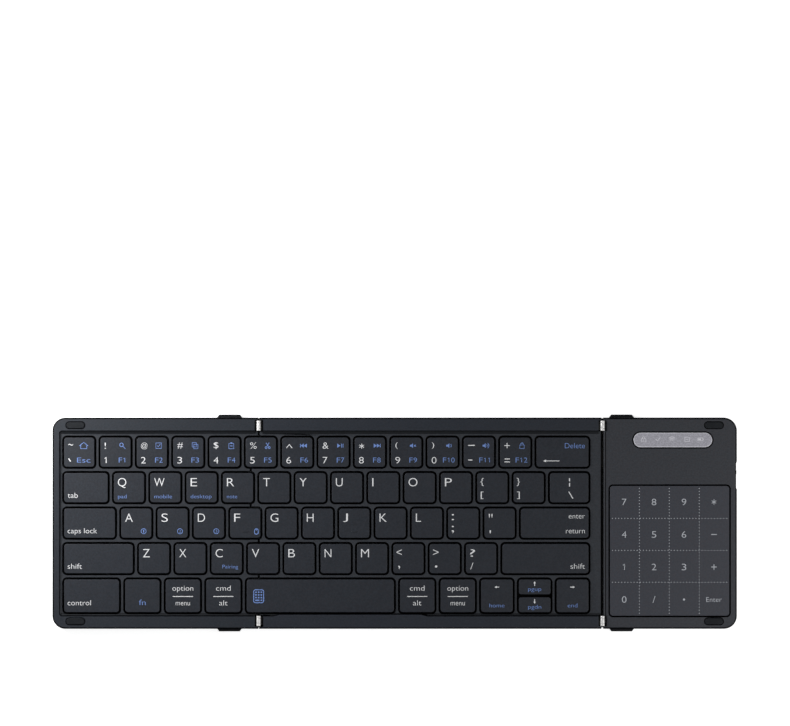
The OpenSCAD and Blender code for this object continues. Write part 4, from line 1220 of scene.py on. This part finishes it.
def addGroove(bm):
    # a shallow groove runs along the right panel's fold edge, between its hinges
    start, end, depth = shell["groove"]
    side = stripInner - shell["grooveShort"]
    for x in (rightLow.x + start, rightLow.x + end):
        cut(bm, (x, 0, 0), (1, 0, 0))
    for y in (-side, side):
        cut(bm, (0, y, 0), (0, 1, 0))
    faces = []
    for face in bm.faces:
        middle = face.calc_center_median()
        if near(middle.z, topZ) and abs(middle.y) < side:
            if start < middle.x - rightLow.x < end:
                faces.append(face)
    bmesh.ops.inset_region(bm, faces=faces, thickness=shell["grooveFlank"], depth=-depth,
                           use_even_offset=True)


def ledges():
    # thin shelves that close the folds from below, put in so that the fold gaps show dark as shade
    end, overlap, gap = (shell[name] for name in ("ledgeShort", "ledgeOverlap", "ledgeGap"))
    end = rearY - end
    yield midHigh.x - overlap, rightLow.x - gap, -end, end
    for lowY, highY in ((-end, -shell["tongue"]), (shell["tongue"], end)):
        yield leftHigh.x + gap, midLow.x + overlap, lowY, highY


frameLooks = {  # the materials of the case and the deck, and the slot
    "left": ("leftCase", "leftDeck", "case_plastic"),
    "mid": ("midCase", "midDeck", "case_plastic"),
    "right": ("padCase", "padCase", "pad_panel_plastic"),
}


def addFrame(panel):
    node, isPad = panel + "_frame", panel == "right"
    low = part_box(node)[0]
    windowLow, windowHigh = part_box("indicator_window")
    bm = mergedMesh(node)
    if isPad:
        openScoop(bm)
    else:
        slopeStrips(bm)

    def onRim(middle):
        return near(middle.z, topZ) and depthInside(middle) < shell["skin"]

    def atTop(middle):
        return near(middle.z, topZ) and depthInside(middle) > shell["outerRound"]

    def atWindow(middle):
        across = windowLow.x - mm < middle.x < windowHigh.x + mm
        return atTop(middle) and across and windowLow.y - mm < middle.y < windowHigh.y + mm

    def atDeck(middle):
        return near(middle.z, deckZ)

    def atSeam(middle):
        return near(middle.z, low.z) and depthInside(middle) < shell["skin"]

    roundEdges(bm, shell["outerRound"], 4, onRim)
    if isPad:
        roundEdges(bm, shell["windowRound"], 3, atWindow)
    roundEdges(bm, shell["topRound"], 3, atTop)
    roundEdges(bm, shell["openingRound"], 2, atDeck)
    roundEdges(bm, shell["seam"], 1, atSeam)
    if isPad:
        addGroove(bm)
    if panel == "mid":
        for place in ledges():
            addLedge(bm, *place)

    def choose(face, middle):
        # 0 is the case's plastic, 1 its outline in painted shade, 2 a slot's walls in painted shadow, 3 a
        # slope in painted shade, 4 the deck with its painted highlight
        inside, rise = depthInside(middle), face.normal.z
        if inside < shell["outerRound"] and middle.z > topZ - shell["rimFall"] and rise > 0.02:
            return 0 if rise > 0.99 else 3 if rise > 0.9 else 1
        if inside < shell["skin"]:
            return 0 if middle.z < topZ - shell["outerRound"] else 1
        if rise < 0.3:
            return 2
        if near(middle.z, deckZ):
            return 4
        if rise < 0.98:
            if middle.x < leftLow.x + shell["band"] and face.normal.x > 0.8:
                return 4
            lower, upper = deckZ + shell["slopeFrom"], topZ - shell["slopeTo"]
            if not isPad and lower < middle.z < upper:
                return 3
            fold = min(abs(middle.x - edge) for edge in (midLow.x, midHigh.x))
            return 0 if fold < shell["foldReach"] and middle.z > deckZ + 0.1 * mm else 2
        # the groove's floor takes the slope's painted shade
        return 3 if near(middle.z, topZ - shell["groove"][2]) else 0

    paintFaces(bm, choose)
    case, deck, slot = frameLooks[panel]
    materials = [case, "edge", "shadow", "slope", deck]
    finishPiece(bm, panel + "FrameShell", materials, bodies[panel], slot, [node])


for panel in bodies:
    addFrame(panel)
print("frames made")


pad = {
    "corner": 1.4 * mm,
    "rim": 0.18 * mm,
    "columns": (639.4, 669.3, 699.3),  # pixels of the dotted lines in the photograph
    "rows": (518.4, 550.4, 582.3),
    "glyphColumns": (624.2, 654, 684, 714),
    "glyphRows": (502, 534.5, 567, 599.5),
    "dot": 0.21 * mm,
    "dotPitch": 1.4 * mm,
    "dotMargin": 0.45 * mm,
    "glyph": (2.1, 3.0),  # width and height in millimetres
    "widerGlyphs": {"+": (2.5, 2.5), "/": (1.3, 3.3)},
    "drawnGlyphs": {"-": ("dash", 1.3, 0.34), "*": ("star", 1.2, 0.3), "1": ("one", 1.34, 0.34)},
    "point": 0.5 * mm,
    "enter": (1.1 * mm, 2.2 * mm, 7.2 * mm),  # how far down, height and width
}
window = {
    "round": 0.45 * mm,
    "icons": {"lock": 643.6, "tick": 657.9, "wave": 671.9, "frame": 687.2, "cell": 700.5},  # pixels
    "iconRow": 439.3,
    "iconHalf": 1.3 * mm,
    "iconLine": 0.26 * mm,
}
play = 0.02 * mm  # keeps a round end's corners from meeting


def addTouchPad():
    low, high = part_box("touchpad_cover")
    bm = bmesh.new()
    roundedBlock(bm, low, high, pad["corner"], pad["rim"], 8)
    bmesh.ops.recalc_face_normals(bm, faces=bm.faces)
    finishPiece(bm, "touchPadSurface", ["pad"], "right_panel", "touch_surface", ["touchpad_cover"])

    sheet = Print(high.z, ["padInk"])
    dot = ring(0, 0, 1, steps=8)[:-1]

    def dots(start, end):
        run = Vector(end) - Vector(start)
        count = int(run.length / pad["dotPitch"])
        for step in range(count):
            spot = Vector(start) + run * (step + 0.5) / count
            sheet.shape(dot, spot.x, spot.y, pad["dot"], "padInk")

    edge = pad["dotMargin"]
    for pixel in pad["columns"]:
        x = photoPoint(pixel, 0)[0]
        dots((x, low.y + edge), (x, high.y - edge))
    for pixel in pad["rows"]:
        y = photoPoint(0, pixel)[1]
        dots((low.x + edge, y), (high.x - edge, y))
    for glyphs, rowPixel in zip(("789*", "456-", "123+", "0/."), pad["glyphRows"]):
        for glyph, columnPixel in zip(glyphs, pad["glyphColumns"]):
            x, y = photoPoint(columnPixel, rowPixel)
            if glyph in pad["drawnGlyphs"]:
                name, half, line = pad["drawnGlyphs"][glyph]
                sheet.sign(name, x, y, half * mm, "padInk", line * mm)
            elif glyph == ".":
                sheet.shape(ring(0, 0, 1, steps=16)[:-1], x, y, pad["point"], "padInk")
            else:
                width, height = pad["widerGlyphs"].get(glyph, pad["glyph"])
                sheet.fitted(glyph, x, y, width * mm, height * mm, "padInk")
    x, y = photoPoint(pad["glyphColumns"][3], pad["glyphRows"][3])
    down, height, width = pad["enter"]
    sheet.words("Enter", x, y - down, height, "padInk", width=width)
    sheet.finish("touchPadPrint", "right_panel")


def addWindow():
    low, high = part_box("indicator_window")
    bm = bmesh.new()
    roundedBlock(bm, low, high, (high.y - low.y) / 2 - play, window["round"], 16)
    bmesh.ops.recalc_face_normals(bm, faces=bm.faces)
    # the pane's rim takes the lighter silver, a painted highlight
    paintFaces(bm, lambda face, middle: int(face.normal.z < 0.99))
    finishPiece(bm, "indicatorWindowPane", ["window", "windowEdge"], "right_panel", "window_silver",
                ["indicator_window"])
    sheet = Print(high.z, ["windowInk"])
    for name, pixel in window["icons"].items():
        x, y = photoPoint(pixel, window["iconRow"])
        sheet.sign(name, x, y, window["iconHalf"], "windowInk", window["iconLine"])
    sheet.finish("indicatorWindowPrint", "right_panel")


addTouchPad()
addWindow()


softRound = {  # how far each kind's edges are rounded over
    "bumper": 0.3 * mm,
    "hinge": 0.07 * mm,
    "feet": 0.12 * mm,
    "cover": 0.1 * mm,
    "socket": 0.05 * mm,
    "switch": 0.15 * mm,
}


def addBumpers(panel):
    node, bm = panel + "_bumpers", bmesh.new()
    for low, high in islandBoxes(node):
        roundedBlock(bm, low, high, (high.y - low.y) / 2 - play, softRound["bumper"], 12, 4)
    bmesh.ops.recalc_face_normals(bm, faces=bm.faces)
    finishPiece(bm, node + "Pads", ["bumper"], bodies[panel], "bumper_rubber", [node])


def addSoftened(node, name, material, slot, body, width):
    # a piece whose every convex edge is rounded over a little
    bm = mergedMesh(node)
    roundEdges(bm, width, 2, lambda middle: True)
    finishPiece(bm, name, [material], body, slot, [node])


for panel, body in bodies.items():
    if panel != "mid":
        addBumpers(panel)
    feet = panel + ("FootPads" if panel == "mid" else "FootBar")
    addSoftened(panel + "_feet", feet, "rubber", "foot_rubber", body, softRound["feet"])
    leaves, cover = panel + "_hinge_leaves", panel + "_bottom_cover"
    addSoftened(leaves, panel + "HingeLeaf", "hinge", "hinge_metal", body, softRound["hinge"])
    addSoftened(cover, panel + "CoverShell", "cover", "cover_plastic", body, softRound["cover"])
addSoftened("usb_c_socket", "chargingSocketShell", "socket", "socket_steel", "right_panel",
            softRound["socket"])
addSoftened("power_switch_knob", "powerSwitchKnob", "switch", "switch_plastic", "power_switch",
            softRound["switch"])

recess = {  # the cross in a screw's head
    "arm": 0.17 * mm,
    "reach": 0.75 * mm,
    "depth": 0.3 * mm,
    "flank": 0.03 * mm,  # how far its walls lean in
    "headRound": 0.1 * mm,
}


def addScrews(panel):
    node = panel + "_screws"
    bm = mergedMesh(node)
    screws = islandBoxes(node)
    bottoms = {round(low.z, 5) for low, high in screws}
    roundEdges(bm, recess["headRound"], 2, lambda middle: round(middle.z, 5) in bottoms)
    arm, reach = recess["arm"], recess["reach"]
    for low, high in screws:
        centre = (low + high) / 2

        def headFaces():
            for face in bm.faces:
                away = face.calc_center_median() - centre
                if near(away.z, low.z - centre.z) and away.xy.length < (high.x - low.x) / 2:
                    yield face, abs(away.x), abs(away.y)

        for across in (Vector((1, 0, 0)), Vector((0, 1, 0))):
            for offset in (-reach, -arm, arm, reach):
                faces = [face for face, x, y in headFaces()]
                parts = {*faces, *(part for face in faces for part in (*face.verts, *face.edges))}
                point = centre + across * offset
                bmesh.ops.bisect_plane(bm, geom=list(parts), plane_co=point, plane_no=across)
        cross = [face for face, x, y in headFaces() if min(x, y) < arm and max(x, y) < reach]
        bmesh.ops.inset_region(bm, faces=cross, thickness=recess["flank"], depth=-recess["depth"],
                               use_even_offset=True)
    finishPiece(bm, panel + "ScrewSet", ["screw"], bodies[panel], "screw_steel", [node])


for panel in bodies:
    addScrews(panel)
print("cases, rubber and metal parts made")


# flat cables across the folds
ribbon = {
    "bend": 3.0 * mm,  # how far each side of a fold the ribbon is cut across
    "steps": 20,
}


def addRibbon(node, name, foldX, side):
    # side is -1 for the left fold and 1 for the right one
    low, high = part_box(node)
    bm = mergedMesh(node)
    bend, steps = ribbon["bend"], ribbon["steps"]
    for step in range(steps + 1):
        cut(bm, (foldX + bend * (2 * step / steps - 1), 0, 0), (1, 0, 0))
    piece = pieceOf(bm, name, ["flex"])
    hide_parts(node)
    middle = (low + high) / 2
    ends = [(foldX + side * reach, middle.y, middle.z) for reach in (-bend, bend)]
    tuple(ends[0])
    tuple(ends[1])
    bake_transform(piece)


addRibbon("left_flex_cable", "leftFlexRibbon", (leftHigh.x + midLow.x) / 2, -1)
addRibbon("right_flex_cable", "rightFlexRibbon", midHigh.x, 1)
print("ribbons made")


# what stays as it was built, with its material
kept = {
    "basePlate": ["left_base_plate", "mid_base_plate"],
    "film": ["left_membrane", "mid_membrane"],
    "pin": ["left_hinge_pins", "right_hinge_pins"],
    "board": ["main_board"],
    "chip": ["board_components"],
    # the touch sensor board takes the painted-shadow black, as it shows only in the pad's gap
    "shadow": ["touch_sensor_board"],
    "battery": ["battery"],
    "guide": ["indicator_light_guide"],
}
for finishName, nodes in kept.items():
    for node in nodes:
        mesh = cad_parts[node].data
        mesh.materials.clear()
        mesh.materials.append(finishes[finishName])


def addFloor():
    # its own light makes it white, except where something stands close over it
    bm = bmesh.new()
    made = bmesh.ops.create_grid(bm, x_segments=1, y_segments=1, size=studio["floorSize"])
    # moved back, so that its diagonal, where its light is uneven, lies clear of the keyboard
    bmesh.ops.translate(bm, vec=(0, studio["floorSize"] / 4, 0), verts=made["verts"])
    mesh = bpy.data.meshes.new("floor")
    bm.to_mesh(mesh)
    bm.free()
    floor = bpy.data.objects.new("floor", mesh)
    bpy.context.scene.collection.objects.link(floor)
    finish = Finish("floorPaint", {"Roughness": 0.9, "Specular IOR Level": 0.0})
    sky = finish.node("ShaderNodeAmbientOcclusion", {"samples": 16}, {"Distance": studio["shadedReach"]},
                      output="AO")
    # painted shadow: where the AO node finds the keyboard close overhead, the floor's colour turns near
    # black and its own light to the camera goes out
    clearance = sky.above(0.2, 0.42)
    under, open = ((studio[name],) * 3 for name in ("shadedColour", "floorColour"))
    finish.paint(colour=finish.mix(clearance, under, open))
    camera, glossy, clear, diffuse = (finish.node("ShaderNodeLightPath", output="Is %s Ray" % ray)
                                      for ray in ("Camera", "Glossy", "Transmission", "Diffuse"))
    seenLight = (camera + clear) * clearance * studio["floorLift"]
    givenLight = (glossy + diffuse) * studio["floorGlow"]
    lift = finish.node("ShaderNodeEmission", None, {0: (1, 1, 1, 1), 1: seenLight + givenLight})
    both = finish.node("ShaderNodeAddShader", None, {1: lift})
    finish.tree.links.new(finish.shader.outputs[0], both.socket.node.inputs[0])
    # seen from below, the floor lets the view through
    back = finish.node("ShaderNodeNewGeometry", output="Backfacing")
    through = finish.node("ShaderNodeBsdfTransparent")
    seen = finish.node("ShaderNodeMixShader", None, {0: back, 1: both, 2: through})
    finish.tree.links.new(seen.socket, finish.tree.nodes["Material Output"].inputs["Surface"])
    mesh.materials.append(finish.material)


def addWorld():
    world = bpy.data.worlds.new("studio")
    world.use_nodes = True
    tree = world.node_tree
    background = tree.nodes["Background"]
    background.inputs["Color"].default_value = (1, 1, 1, 1)
    sky = Tree(tree)
    level = studio["worldLevel"]
    low, high = studio["horizonGloss"], studio["overheadGloss"]
    rise = abs(sky.node("ShaderNodeSeparateXYZ", None, {0: sky.node("ShaderNodeTexCoord")}, output="Z"))
    gloss = rise.above(0.1, 0.75) * (high - low) + low
    camera, glossy, clear = (sky.node("ShaderNodeLightPath", output="Is %s Ray" % ray)
                             for ray in ("Camera", "Glossy", "Transmission"))
    total = (camera + clear) * (1 - level) + glossy * (gloss - level) + level
    tree.links.new(total.socket, background.inputs["Strength"])
    bpy.context.scene.world = world


addCamera()
for lamp in ("key", "fill"):
    addLamp(lamp + "Lamp", *(studio[lamp + part] for part in ("Place", "Size", "Power", "Aim")))
addFloor()
addWorld()
bpy.context.scene.view_settings.view_transform = "Standard"
print("stage set")
